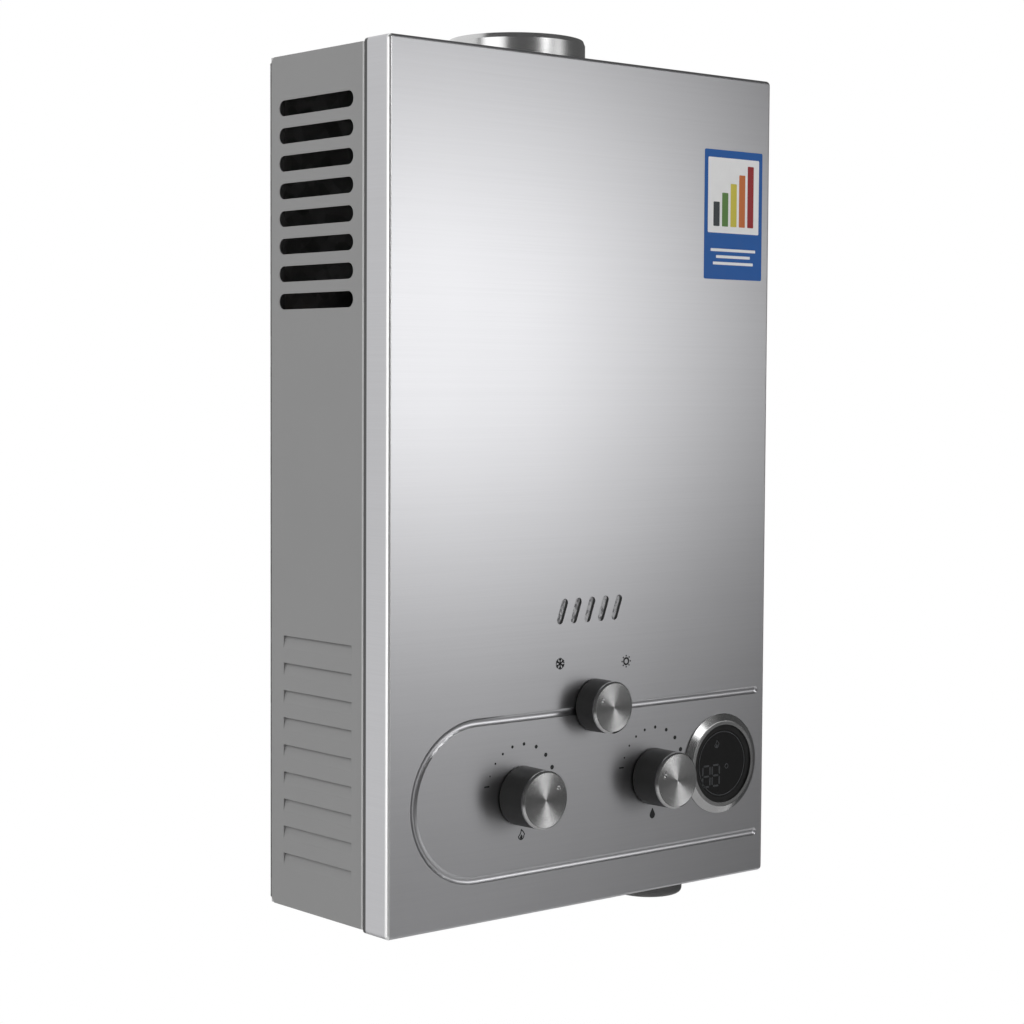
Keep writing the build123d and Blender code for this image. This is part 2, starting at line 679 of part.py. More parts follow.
# Burner frame with a mouth for each bar
with BuildPart() as burner_frame:
    with BuildSketch(level(0, CHAMBER_Y, FRAME_Z)):
        Rectangle(CHAMBER_W, CHAMBER_D)
        Rectangle(CHAMBER_W - 2 * CHAMBER_WALL, CHAMBER_D - 2 * CHAMBER_WALL, mode=Mode.SUBTRACT)
    extrude(amount=BURNER_H)
    with BuildSketch(facing(0, CHAMBER_FRONT, FRAME_Z + MOUTH_Z)):
        with GridLocations(BAR_PITCH, 0, BAR_COUNT, 1):
            Circle(MOUTH_R)
    extrude(amount=-CHAMBER_WALL, mode=Mode.SUBTRACT)
save(burner_frame, "burner_frame")

# Burner bars: a mixing tube at the foot, a thin neck and a slotted head
BAR_L = CHAMBER_D - 2 * CHAMBER_WALL
with BuildPart() as burner_bars:
    with BuildSketch(facing(0, CHAMBER_FRONT + CHAMBER_WALL, FRAME_Z)):
        with GridLocations(BAR_PITCH, 0, BAR_COUNT, 1):
            Rectangle(BAR_T, BAR_FOOT, align=(Align.CENTER, Align.MIN))
            Rectangle(BAR_NECK_T, BURNER_H, align=(Align.CENTER, Align.MIN))
        with Locations((0, BURNER_H)):
            with GridLocations(BAR_PITCH, 0, BAR_COUNT, 1):
                Rectangle(BAR_T, BAR_HEAD, align=(Align.CENTER, Align.MAX))
    extrude(amount=-BAR_L)
    with BuildSketch(level(0, CHAMBER_Y, FRAME_Z + BURNER_H)):
        with GridLocations(0, PORT_PITCH, 1, PORT_COUNT):
            Rectangle(CHAMBER_W, PORT_W)
    extrude(amount=-PORT_DEPTH, mode=Mode.SUBTRACT)
    with BuildSketch(facing(0, CHAMBER_FRONT + CHAMBER_WALL, FRAME_Z + MOUTH_Z)):
        with GridLocations(BAR_PITCH, 0, BAR_COUNT, 1):
            Circle(MOUTH_R)
    extrude(amount=-MOUTH_DEPTH, mode=Mode.SUBTRACT)
save(burner_bars, "burner_bars")

# Gas manifold with an ear at each end on the burner frame
with BuildPart() as gas_manifold:
    with BuildSketch(sideways(0, MANIFOLD_Y, MANIFOLD_Z)):
        RectangleRounded(MANIFOLD_H, MANIFOLD_H, MANIFOLD_ROUND)
    extrude(amount=MANIFOLD_L / 2, both=True)
    with BuildSketch(facing(0, CHAMBER_FRONT, MANIFOLD_Z)):
        with GridLocations(MANIFOLD_L - MANIFOLD_EAR, 0, 2, 1):
            Rectangle(MANIFOLD_EAR, MANIFOLD_EAR)
    extrude(amount=MANIFOLD_GAP + MANIFOLD_ROUND)
save(gas_manifold, "gas_manifold")

# Injectors, one in front of each bar's mouth
with BuildPart() as injectors:
    with BuildSketch(facing(0, CHAMBER_FRONT - MANIFOLD_GAP, MANIFOLD_Z)):
        with GridLocations(BAR_PITCH, 0, BAR_COUNT, 1):
            RegularPolygon(INJECTOR_R, 6)
            Circle(INJECTOR_BORE, mode=Mode.SUBTRACT)
    extrude(amount=-INJECTOR_L)
save(injectors, "injectors")

# Spark and flame electrodes: ceramic bodies on the chamber's front, wires over the bars
with BuildPart() as electrode_insulators:
    with BuildSketch(facing(0, CHAMBER_FRONT, CHAMBER_Z + WINDOW_UP)):
        with GridLocations(2 * ELECTRODE_X, 0, 2, 1):
            Circle(ELECTRODE_R)
    extrude(amount=ELECTRODE_OUT)
    with BuildSketch(facing(0, CHAMBER_FRONT, CHAMBER_Z + WINDOW_UP)):
        with GridLocations(2 * ELECTRODE_X, 0, 2, 1):
            Circle(ELECTRODE_R)
    extrude(amount=-ELECTRODE_IN)
    with BuildSketch(facing(0, CHAMBER_FRONT, CHAMBER_Z + WINDOW_UP)):
        with GridLocations(2 * ELECTRODE_X, 0, 2, 1):
            Circle(ELECTRODE_COLLAR_R)
    extrude(amount=ELECTRODE_COLLAR_T)
save(electrode_insulators, "electrode_insulators")

with BuildPart() as electrode_wires:
    with BuildSketch(facing(0, CHAMBER_FRONT + ELECTRODE_IN, CHAMBER_Z + WINDOW_UP)):
        with GridLocations(2 * ELECTRODE_X, 0, 2, 1):
            Circle(WIRE_R)
    extrude(amount=-WIRE_L)
save(electrode_wires, "electrode_wires")

# Overheat thermostat on the exchanger's front wall
with BuildPart() as overheat_thermostat:
    with BuildSketch(facing(THERMOSTAT_X, CHAMBER_FRONT, FIN_MID)):
        SlotOverall(THERMOSTAT_EAR, THERMOSTAT_R)
    extrude(amount=SHEET)
    with BuildSketch(facing(THERMOSTAT_X, CHAMBER_FRONT, FIN_MID)):
        Circle(THERMOSTAT_R)
    extrude(amount=THERMOSTAT_T)
save(overheat_thermostat, "overheat_thermostat")

# Shelf under the valves, turned down on the back plate
SHELF_W = 2 * KNOB_X + VALVE_W + 2 * SHELF_SIDE
with BuildPart() as valve_shelf:
    with BuildSketch(sideways(0, REAR, VALVE_FOOT)):
        Rectangle(REAR - VALVE_FRONT, SHELF_T, align=(Align.MAX, Align.MAX))
        Rectangle(SHELF_T, SHELF_TURN, align=(Align.MAX, Align.MAX))
    extrude(amount=SHELF_W / 2, both=True)
    with BuildSketch(level(0, 0, VALVE_FOOT)):
        with Locations((-KNOB_X, PIPE_Y), (KNOB_X, PIPE_Y)):
            Circle(PIPE_R + SHELF_HOLE_GAP)
        with Locations((DRAIN_X, DRAIN_Y)):
            Circle(DRAIN_R + DRAIN_GAP)
        with Locations((COVER_LEFT - CUP_GAP, VALVE_Y)):
            Rectangle(
                CUP_RIGHT - COVER_LEFT + CUP_GAP,
                2 * CHAMBER_CUP_R + 2 * CUP_GAP,
                align=(Align.MIN, Align.CENTER),
            )
    extrude(amount=-SHELF_T, mode=Mode.SUBTRACT)
save(valve_shelf, "valve_shelf")

# Gas valve: die-cast block with a bonnet for the spindle and a guide for the push rod
BONNET_FRONT = VALVE_FRONT - BONNET_L


def valve_block(x):
    """Rounded valve body on its shelf, with a bonnet bored for its spindle."""
    with BuildPart() as block:
        with BuildSketch(facing(x, VALVE_REAR, VALVE_Z)):
            RectangleRounded(VALVE_W, VALVE_H, VALVE_CORNER)
        extrude(amount=VALVE_D)
        with BuildSketch(facing(x, VALVE_FRONT, VALVE_Z)):
            Circle(BONNET_R)
        extrude(amount=BONNET_L)
        with BuildSketch(facing(x, BONNET_FRONT, VALVE_Z)):
            Circle(SPINDLE_R + RUN_FIT)
        extrude(amount=-SPINDLE_IN - SPINDLE_END_GAP, mode=Mode.SUBTRACT)
    return block.part


with BuildPart() as gas_valve:
    add(valve_block(-KNOB_X))
    with BuildSketch(sideways(GAS_RIGHT, VALVE_Y, VALVE_Z)):
        Circle(ROD_R + RUN_FIT)
    extrude(amount=-ROD_IN_GAS - ROD_TRAVEL - ROD_END_GAP, mode=Mode.SUBTRACT)
save(gas_valve, "gas_valve")

# Solenoid on the gas valve's left
GAS_LEFT = -KNOB_X - VALVE_W / 2
with BuildPart() as solenoid_valve:
    with BuildSketch(sideways(GAS_LEFT, VALVE_Y, VALVE_Z)):
        Circle(SOLENOID_R)
    extrude(amount=-SOLENOID_L)
    with BuildSketch(sideways(GAS_LEFT - SOLENOID_L, VALVE_Y, VALVE_Z)):
        Circle(SOLENOID_CAP_R)
    extrude(amount=-SOLENOID_CAP_L)
    chamfer(solenoid_valve.edges().group_by(Axis.X)[0], length=SOLENOID_CHAMFER)
save(solenoid_valve, "solenoid_valve")

# Riser with a plate at each end, from the gas valve to the manifold
with BuildPart() as gas_riser:
    with BuildSketch(level(-KNOB_X, MANIFOLD_Y, VALVE_TOP)):
        Circle(RISER_R)
    extrude(amount=MANIFOLD_FOOT - VALVE_TOP)
    ends = (VALVE_TOP, MANIFOLD_FOOT - RISER_PLATE_T)
    with BuildSketch(*[level(-KNOB_X, MANIFOLD_Y, z) for z in ends]):
        RectangleRounded(RISER_PLATE, RISER_PLATE_D, RISER_CORNER)
    extrude(amount=RISER_PLATE_T)
    with BuildSketch(level(-KNOB_X, MANIFOLD_Y, VALVE_TOP)):
        Circle(RISER_R - PIPE_WALL)
    extrude(amount=MANIFOLD_FOOT - VALVE_TOP, mode=Mode.SUBTRACT)
save(gas_riser, "gas_riser")

# Season valve under the manifold
SEASON_VALVE_Z = BOTTOM + SEASON_Z
SEASON_FRONT = MANIFOLD_Y - SEASON_VALVE_L / 2
with BuildPart() as season_valve:
    with BuildSketch(facing(SEASON_X, SEASON_FRONT, SEASON_VALVE_Z)):
        Circle(SEASON_VALVE_R)
    extrude(amount=-SEASON_VALVE_L)
    with BuildSketch(level(SEASON_X, MANIFOLD_Y, SEASON_VALVE_Z)):
        Rectangle(SEASON_NECK, SEASON_NECK)
    extrude(amount=MANIFOLD_FOOT - SEASON_VALVE_Z)
    with BuildSketch(facing(SEASON_X, SEASON_FRONT, SEASON_VALVE_Z)):
        Circle(SPINDLE_R + RUN_FIT)
    extrude(amount=-SEASON_SPINDLE_IN - SPINDLE_END_GAP, mode=Mode.SUBTRACT)
save(season_valve, "season_valve")

# Water valve with one half of the diaphragm chamber on its left
with BuildPart() as water_valve:
    add(valve_block(KNOB_X))
    with BuildSketch(sideways(CUP_RIGHT, VALVE_Y, VALVE_Z)):
        Circle(CHAMBER_CUP_R)
    extrude(amount=-CHAMBER_CUP_L)
    with BuildSketch(sideways(CUP_LEFT, VALVE_Y, VALVE_Z)):
        Circle(CHAMBER_CUP_R - CUP_WALL)
    extrude(amount=CHAMBER_CUP_L - CUP_WALL, mode=Mode.SUBTRACT)
save(water_valve, "water_valve")

with BuildPart() as diaphragm:
    with BuildSketch(sideways(CUP_LEFT, VALVE_Y, VALVE_Z)):
        Circle(CHAMBER_CUP_R)
    extrude(amount=-RUBBER_T)
save(diaphragm, "diaphragm")

with BuildPart() as diaphragm_cover:
    with BuildSketch(sideways(COVER_RIGHT, VALVE_Y, VALVE_Z)):
        Circle(CHAMBER_CUP_R)
    extrude(amount=-CHAMBER_CUP_L)
    with BuildSketch(sideways(COVER_LEFT, VALVE_Y, VALVE_Z)):
        Circle(ROD_BOSS_R)
    extrude(amount=-ROD_BOSS_L)
    with BuildSketch(sideways(COVER_RIGHT, VALVE_Y, VALVE_Z)):
        Circle(CHAMBER_CUP_R - CUP_WALL)
    extrude(amount=CUP_WALL - CHAMBER_CUP_L, mode=Mode.SUBTRACT)
    with BuildSketch(sideways(COVER_RIGHT, VALVE_Y, VALVE_Z)):
        Circle(ROD_R + RUN_FIT)
    extrude(amount=-CHAMBER_CUP_L - ROD_BOSS_L, mode=Mode.SUBTRACT)
save(diaphragm_cover, "diaphragm_cover")

# Push rod: a plate against the diaphragm, a collar for the switch and an end in the gas valve
ROD_RIGHT = COVER_RIGHT - ROD_PLATE_GAP
ROD_LEFT = GAS_RIGHT - ROD_IN_GAS
with BuildPart() as push_rod:
    with BuildSketch(sideways(ROD_RIGHT, VALVE_Y, VALVE_Z)):
        Circle(ROD_PLATE_R)
    extrude(amount=-ROD_PLATE_T)
    with BuildSketch(sideways(ROD_RIGHT, VALVE_Y, VALVE_Z)):
        Circle(ROD_R)
    extrude(amount=ROD_LEFT - ROD_RIGHT)
    with BuildSketch(sideways(ROD_COLLAR_X, VALVE_Y, VALVE_Z)):
        Circle(ROD_COLLAR_R)
    extrude(amount=ROD_COLLAR_T)
save(push_rod, "push_rod")

# Bracket between the gas valve and the diaphragm cover, with the microswitch on it
LEVER_X = ROD_COLLAR_X - LEVER_GAP - LEVER_T / 2
LEVER_Z = VALVE_Z + LEVER_UP
SWITCH_Z = VALVE_Z + SWITCH_UP
SWITCH_REAR = VALVE_Y + SWITCH_D / 2
with BuildPart() as switch_bracket:
    with BuildSketch(facing(GAS_RIGHT, SWITCH_REAR + BRACKET_T, SWITCH_Z)):
        Rectangle(COVER_LEFT - GAS_RIGHT, BRACKET_H, align=(Align.MIN, Align.CENTER))
    extrude(amount=BRACKET_T)
save(switch_bracket, "switch_bracket")

with BuildPart() as microswitch:
    with BuildSketch(facing(LEVER_X, SWITCH_REAR, SWITCH_Z)):
        Rectangle(SWITCH_W, SWITCH_H, align=(Align.CENTER, Align.MIN))
    extrude(amount=SWITCH_D)
    for y in (SWITCH_REAR, SWITCH_REAR - SWITCH_D + SWITCH_EAR_T):
        with BuildSketch(facing(LEVER_X, y, SWITCH_Z)):
            Rectangle(SWITCH_EAR_W, SWITCH_EAR_DROP, align=(Align.CENTER, Align.MAX))
        extrude(amount=SWITCH_EAR_T)
    with BuildSketch(facing(LEVER_X, SWITCH_REAR, LEVER_Z)):
        Circle(LEVER_PIN_R + RUN_FIT)
    extrude(amount=SWITCH_D, mode=Mode.SUBTRACT)
save(microswitch, "microswitch")

with BuildPart() as switch_lever:
    with BuildSketch(facing(LEVER_X, VALVE_Y, LEVER_Z)):
        Circle(LEVER_PIN_R)
    extrude(amount=SWITCH_D / 2, both=True)
    with BuildSketch(facing(LEVER_X, VALVE_Y, LEVER_Z)):
        Rectangle(LEVER_T, LEVER_UP - LEVER_END, align=(Align.CENTER, Align.MAX))
    extrude(amount=LEVER_W / 2, both=True)
save(switch_lever, "switch_lever")

# Drain under the water valve, with a knob to open it by hand
DRAIN_FOOT = BOTTOM - DRAIN_OUT
with BuildPart() as drain_valve:
    with BuildSketch(level(DRAIN_X, DRAIN_Y, DRAIN_FOOT)):
        Circle(DRAIN_R)
    extrude(amount=VALVE_FOOT - DRAIN_FOOT)
    with BuildSketch(level(DRAIN_X, DRAIN_Y, DRAIN_FOOT)):
        Circle(DRAIN_STEM_R + RUN_FIT)
    extrude(amount=DRAIN_STEM_L + DRAIN_GAP, mode=Mode.SUBTRACT)
save(drain_valve, "drain_valve")

with BuildPart() as drain_knob:
    with BuildSketch(level(DRAIN_X, DRAIN_Y, DRAIN_FOOT - DRAIN_GAP)):
        Circle(DRAIN_KNOB_R)
        with PolarLocations(DRAIN_KNOB_R, DRAIN_FLUTES):
            Circle(DRAIN_FLUTE_R, mode=Mode.SUBTRACT)
    extrude(amount=-DRAIN_KNOB_H)
    with BuildSketch(level(DRAIN_X, DRAIN_Y, DRAIN_FOOT - DRAIN_GAP)):
        Circle(DRAIN_STEM_R)
    extrude(amount=DRAIN_STEM_L)
save(drain_knob, "drain_knob")

# Knobs, each with a spun metal cap and a spindle with a flat
KNOB_REAR = FRONT - KNOB_GAP


def control(name, x, z, radius, length, pointer, spindle_rear):
    """Knob, cap and spindle on one axis through the front panel."""
    axis = Axis((x, 0, z), (0, 1, 0))
    cap_front = KNOB_REAR - length
    cap_rear = cap_front + CAP_T
    hollow = cap_rear + KNOB_FACE
    with BuildPart() as knob:
        with BuildSketch(level(x, 0, z)):
            with BuildLine():
                Polyline(
                    (0, cap_rear),
                    (radius - KNOB_TAPER, cap_rear),
                    (radius, KNOB_REAR),
                    (radius - KNOB_WALL, KNOB_REAR),
                    (radius - KNOB_WALL - KNOB_TAPER, hollow),
                    (KNOB_HUB_R, hollow),
                    (KNOB_HUB_R, hollow + KNOB_HUB_L),
                    (0, hollow + KNOB_HUB_L),
                    close=True,
                )
            make_face()
        revolve(axis=axis)
        with BuildSketch(facing(x, hollow + KNOB_HUB_L, z)):
            Circle(SPINDLE_R + RUN_FIT)
            with Locations((0, SPINDLE_FLAT + RUN_FIT)):
                Rectangle(2 * KNOB_HUB_R, SPINDLE_R, align=(Align.CENTER, Align.MIN), mode=Mode.SUBTRACT)
        extrude(amount=KNOB_HUB_L, mode=Mode.SUBTRACT)
    save(knob, f"{name}_knob")
    with BuildPart() as cap:
        with BuildSketch(facing(x, cap_rear, z)):
            Circle(radius - KNOB_TAPER)
        extrude(amount=CAP_T)
        chamfer(cap.faces().sort_by(Axis.Y)[0].edges(), length=CAP_BEVEL)
        place = DIMPLE_PLACE * radius
        angle = math.radians(pointer)
        with Locations(
            (
                x + place * math.cos(angle),
                cap_front - DIMPLE_R + DIMPLE_DEPTH,
                z + place * math.sin(angle),
            )
        ):
            Sphere(DIMPLE_R, mode=Mode.SUBTRACT)
    save(cap, f"{name}_knob_cap")
    with BuildPart() as spindle:
        with BuildSketch(facing(x, spindle_rear, z)):
            Circle(SPINDLE_R)
        extrude(amount=spindle_rear - hollow)
        with BuildSketch(facing(x, hollow + KNOB_HUB_L, z)):
            with Locations((0, SPINDLE_FLAT)):
                Rectangle(2 * SPINDLE_R, SPINDLE_R, align=(Align.CENTER, Align.MIN))
        extrude(amount=KNOB_HUB_L, mode=Mode.SUBTRACT)
    save(spindle, f"{name}_spindle")


control("gas", -KNOB_X, VALVE_Z, KNOB_R, KNOB_L, GAS_POINTER, BONNET_FRONT + SPINDLE_IN)
control("water", KNOB_X, VALVE_Z, KNOB_R, KNOB_L, WATER_POINTER, BONNET_FRONT + SPINDLE_IN)
season_rear = SEASON_FRONT + SEASON_SPINDLE_IN
control("season", SEASON_X, SEASON_VALVE_Z, SEASON_R, SEASON_L, SEASON_POINTER, season_rear)


def pipe(points, radius, wall, bends):
    """Bent tube along straight runs joined by tangent arcs, one bend for each corner."""
    with BuildPart() as tube:
        with BuildLine() as route:
            FilletPolyline(*points, radius=bends)
        with BuildSketch(Plane(origin=route.line @ 0, z_dir=route.line % 0)):
            Circle(radius)
            Circle(radius - wall, mode=Mode.SUBTRACT)
        sweep()
    return tube.part


# Inlet pipes from the fittings to the rear of the valves
FITTING_FOOT = BOTTOM - FITTING_DOWN
FITTING_SHOULDER = BOTTOM + SHEET + FITTING_FLANGE_T
FITTING_TOP = FITTING_SHOULDER + FITTING_UP
for name, x in (("gas", -KNOB_X), ("cold", KNOB_X)):
    with BuildPart() as inlet_pipe:
        add(
            pipe(
                [(x, PIPE_Y, FITTING_TOP), (x, PIPE_Y, VALVE_Z), (x, VALVE_REAR, VALVE_Z)],
                PIPE_R,
                PIPE_WALL,
                [PIPE_BEND],
            )
        )
    save(inlet_pipe, f"{name}_inlet_pipe")

# Water riser from the water valve up the right-hand side into the exchanger
with BuildPart() as water_riser:
    add(
        pipe(
            [
                (KNOB_X, TUBE_YS[0], VALVE_TOP),
                (KNOB_X, TUBE_YS[0], BOTTOM + CROSS_Z),
                (SIDE_PIPE_X, TUBE_YS[0], BOTTOM + CROSS_Z),
                (SIDE_PIPE_X, TUBE_YS[0], FIN_MID),
                (CHAMBER_W / 2, TUBE_YS[0], FIN_MID),
            ],
            TUBE_R,
            TUBE_WALL,
            [PIPE_BEND, PIPE_BEND, SIDE_BEND],
        )
    )
save(water_riser, "water_riser")

# Hot pipe from the exchanger down the left-hand side and in to its fitting
with BuildPart() as hot_outlet_pipe:
    add(
        pipe(
            [
                (-CHAMBER_W / 2, PIPE_Y, FIN_MID),
                (-SIDE_PIPE_X, PIPE_Y, FIN_MID),
                (-SIDE_PIPE_X, PIPE_Y, BOTTOM + CROSS_Z),
                (HOT_X, PIPE_Y, BOTTOM + CROSS_Z),
                (HOT_X, PIPE_Y, FITTING_TOP),
            ],
            TUBE_R,
            TUBE_WALL,
            [SIDE_BEND, PIPE_BEND, PIPE_BEND],
        )
    )
save(hot_outlet_pipe, "hot_outlet_pipe")

# Threaded fittings through the bottom plate, and their locknuts
for name, x in (("hot_outlet", HOT_X), ("gas_inlet", -KNOB_X), ("cold_inlet", KNOB_X)):
    with BuildPart() as fitting:
        with BuildSketch(facing(x, PIPE_Y, 0)):
            with BuildLine():
                Polyline(
                    (FITTING_BORE, FITTING_FOOT),
                    (FITTING_R - THREAD_CHAMFER, FITTING_FOOT),
                    (FITTING_R, FITTING_FOOT + THREAD_CHAMFER),
                    (FITTING_R, BOTTOM - NUT_T),
                    (FITTING_SHANK_R, BOTTOM - NUT_T),
                    (FITTING_SHANK_R, BOTTOM + SHEET),
                    (FITTING_FLANGE_R, BOTTOM + SHEET),
                    (FITTING_FLANGE_R, FITTING_SHOULDER),
                    (FITTING_SOCKET_R, FITTING_SHOULDER),
                    (FITTING_SOCKET_R, FITTING_TOP),
                    (FITTING_BORE, FITTING_TOP),
                    close=True,
                )
            make_face()
        revolve(axis=Axis((x, PIPE_Y, 0), (0, 0, 1)))
    save(fitting, f"{name}_fitting")

with BuildPart() as fitting_nuts:
    with BuildSketch(level(0, PIPE_Y, BOTTOM)):
        with Locations(*[(x, 0) for x in FITTING_XS]):
            RegularPolygon(NUT_ACROSS / 2, 6, major_radius=False)
            Circle(FITTING_SHANK_R + FITTING_GAP, mode=Mode.SUBTRACT)
    extrude(amount=-NUT_T)
save(fitting_nuts, "fitting_nuts")

# Igniter box on the back plate
with BuildPart() as igniter_box:
    with BuildSketch(facing(IGNITER_X, REAR, BOTTOM + IGNITER_Z)):
        Rectangle(IGNITER_W, IGNITER_H, align=(Align.CENTER, Align.MIN))
    extrude(amount=IGNITER_D)
    fillet(igniter_box.faces().sort_by(Axis.Y)[0].edges(), radius=IGNITER_ROUND)
save(igniter_box, "igniter_box")

# Battery tube through the bottom plate, two cells and a cap that turns on its neck
CELL_FOOT = BOTTOM - BATTERY_NECK
CELL_STEP = CELL_L + CELL_TIP_L + CELL_SPACE
TUBE_CEILING = CELL_FOOT + 2 * CELL_STEP
with BuildPart() as battery_tube:
    with BuildSketch(level(BATTERY_X, BATTERY_Y, CELL_FOOT)):
        Circle(BATTERY_TUBE_R)
    extrude(amount=TUBE_CEILING + BATTERY_WALL - CELL_FOOT)
    with BuildSketch(level(BATTERY_X, BATTERY_Y, BOTTOM + SHEET)):
        Circle(BATTERY_TUBE_R + BATTERY_FLANGE)
    extrude(amount=BATTERY_FLANGE_T)
    with BuildSketch(level(BATTERY_X, BATTERY_Y, CELL_FOOT)):
        Circle(CELL_R + CELL_GAP)
    extrude(amount=TUBE_CEILING - CELL_FOOT, mode=Mode.SUBTRACT)
save(battery_tube, "battery_tube")

with BuildPart() as batteries:
    for i in range(2):
        foot = CELL_FOOT + i * CELL_STEP
        with BuildSketch(level(BATTERY_X, BATTERY_Y, foot)):
            Circle(CELL_R)
        extrude(amount=CELL_L)
        with BuildSketch(level(BATTERY_X, BATTERY_Y, foot + CELL_L)):
            Circle(CELL_TIP_R)
        extrude(amount=CELL_TIP_L)
save(batteries, "batteries")

CAP_TOP = BOTTOM - BATTERY_CAP_GAP
CAP_FLOOR = CELL_FOOT - BATTERY_CAP_LIFT
with BuildPart() as battery_cap:
    with BuildSketch(level(BATTERY_X, BATTERY_Y, CAP_TOP)):
        Circle(BATTERY_CAP_R)
    extrude(amount=BATTERY_CAP_GAP - BATTERY_CAP_H)
    fillet(battery_cap.faces().sort_by(Axis.Z)[0].edges(), radius=BATTERY_CAP_ROUND)
    with BuildSketch(level(BATTERY_X, BATTERY_Y, CAP_TOP)):
        Circle(BATTERY_TUBE_R + BATTERY_CAP_FIT)
    extrude(amount=CAP_FLOOR - CAP_TOP, mode=Mode.SUBTRACT)
    with BuildSketch(level(BATTERY_X, BATTERY_Y, BOTTOM - BATTERY_CAP_H)):
        SlotOverall(GRIP_L, GRIP_W)
    extrude(amount=GRIP_DEPTH, mode=Mode.SUBTRACT)
save(battery_cap, "battery_cap")

# Round display: bezel through the panel, lens in the bezel and module behind it
DISPLAY_UP = BOTTOM + DISPLAY_Z
BEZEL_FRONT = FRONT - BEZEL_H
LENS_FRONT = BEZEL_FRONT + LENS_SINK
LENS_REAR = LENS_FRONT + LENS_T
MODULE_R = BEZEL_NECK_R - MODULE_WALL - MODULE_FIT
with BuildPart() as display_bezel:
    with BuildSketch(level(DISPLAY_X, 0, DISPLAY_UP)) as bezel_section:
        with BuildLine():
            Polyline(
                (BEZEL_NECK_R, FRONT + BEZEL_NECK_L),
                (BEZEL_NECK_R, FRONT),
                (BEZEL_R, FRONT),
                (BEZEL_R, FRONT - BEZEL_EDGE),
                (BEZEL_TOP_R, BEZEL_FRONT),
                (LENS_R + LENS_FIT, BEZEL_FRONT),
                (LENS_R + LENS_FIT, LENS_REAR),
                (BEZEL_NECK_R - MODULE_WALL, LENS_REAR),
                (BEZEL_NECK_R - MODULE_WALL, FRONT + BEZEL_NECK_L),
                close=True,
            )
        make_face()
        fillet(bezel_section.vertices().group_by(Axis.Y)[0].sort_by(Axis.X)[-1], radius=BEZEL_ROUND)
    revolve(axis=Axis((DISPLAY_X, 0, DISPLAY_UP), (0, 1, 0)))
save(display_bezel, "display_bezel")

with BuildPart() as display_lens:
    with BuildSketch(facing(DISPLAY_X, LENS_REAR, DISPLAY_UP)):
        Circle(LENS_R)
    extrude(amount=LENS_T)
save(display_lens, "display_lens")

with BuildPart() as display_module:
    with BuildSketch(facing(DISPLAY_X, LENS_REAR + MODULE_L, DISPLAY_UP)):
        Circle(MODULE_R)
    extrude(amount=MODULE_L)
save(display_module, "display_module")
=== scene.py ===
import json
import math

import bmesh
import bpy
from mathutils import Matrix, Vector

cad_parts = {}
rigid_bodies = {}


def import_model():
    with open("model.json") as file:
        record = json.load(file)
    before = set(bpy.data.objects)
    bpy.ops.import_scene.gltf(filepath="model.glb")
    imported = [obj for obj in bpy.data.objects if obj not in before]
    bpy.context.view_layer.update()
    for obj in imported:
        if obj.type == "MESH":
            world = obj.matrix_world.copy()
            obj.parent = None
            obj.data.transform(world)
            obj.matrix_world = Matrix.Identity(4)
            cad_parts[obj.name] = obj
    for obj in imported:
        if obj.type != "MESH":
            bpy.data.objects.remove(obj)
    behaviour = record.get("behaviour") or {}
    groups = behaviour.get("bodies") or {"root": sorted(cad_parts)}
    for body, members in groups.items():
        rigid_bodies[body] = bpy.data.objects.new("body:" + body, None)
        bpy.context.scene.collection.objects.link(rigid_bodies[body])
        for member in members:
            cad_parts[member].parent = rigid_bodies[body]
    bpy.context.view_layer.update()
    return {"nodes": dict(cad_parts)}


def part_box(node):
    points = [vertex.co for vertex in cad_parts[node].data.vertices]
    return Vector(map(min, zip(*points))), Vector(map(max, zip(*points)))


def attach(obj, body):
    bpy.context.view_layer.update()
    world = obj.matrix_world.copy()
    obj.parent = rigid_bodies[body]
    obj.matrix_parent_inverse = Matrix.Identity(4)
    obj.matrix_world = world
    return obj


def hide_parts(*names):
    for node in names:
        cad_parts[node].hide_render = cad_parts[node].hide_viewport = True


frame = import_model()
nodes = frame["nodes"]
scene = bpy.context.scene

# Places on the heater, in metres: Z is up, the wall is Y = 0 and the front faces -Y
COVER_LOW, COVER_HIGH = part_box("front_cover")
FRONT_Y, COVER_REAR = COVER_LOW.y, COVER_HIGH.y
SIDE_X = COVER_HIGH.x  # the cover's sides, from the middle
SLOT_Z, SLOT_PITCH, SLOT_LEAN = -0.1085, 0.016, math.radians(20)  # sight slots

# Sheet and turned metal
FOLD, LAP = 0.0034, 0.0041  # widths of the painted highlight on the cover's fold and of the painted shade on the lap at its rear
RUBBED = 0.0047  # width of the painted highlight along the sides' front edge, where the sheet rounds
CAP_BEVEL, CAP_INSET = 0.0016, 0.0004  # of a knob cap; the inset is from the knob's rim
DIMPLE_SHARE, DIMPLE_R = 0.64, 0.0022  # how far out on the knob the dimple lies, and its size
RING_WIDTH, RING_SLOPE = 0.0003, 0.28  # one flank of a turned ring on a knob cap, and how steep it is

# Printed marks
INK, FILM = 0.00006, 0.00012  # thickness of a printed mark and of the sticker
DIAL_R, DIAL_UP = 0.0375, 0.0066  # ring of dots round a main knob, set a little above its middle
DOT_ANGLES = (159, 141, 124, 106, 86, 64, 43, 22)
DOT_SMALL, DOT_LARGE = 0.0016, 0.0041
DASH_W, DASH_H, DASH_CORNER = 0.0056, 0.0013, 0.0003  # mark at the low end of a dial
DASH_X, DASH_UP = -0.0385, 0.0048
CAPTION_DROP = 0.035  # from a knob's middle down to its sign
GAS_SIGN, WATER_SIGN_W, WATER_SIGN_H = 0.0098, 0.0066, 0.0096
WINTER_X, WINTER_Z, WINTER_SIGN = -0.0344, -0.1536, 0.0104
SUMMER_X, SUMMER_Z, SUMMER_SIGN = 0.0439, -0.1573, 0.0112

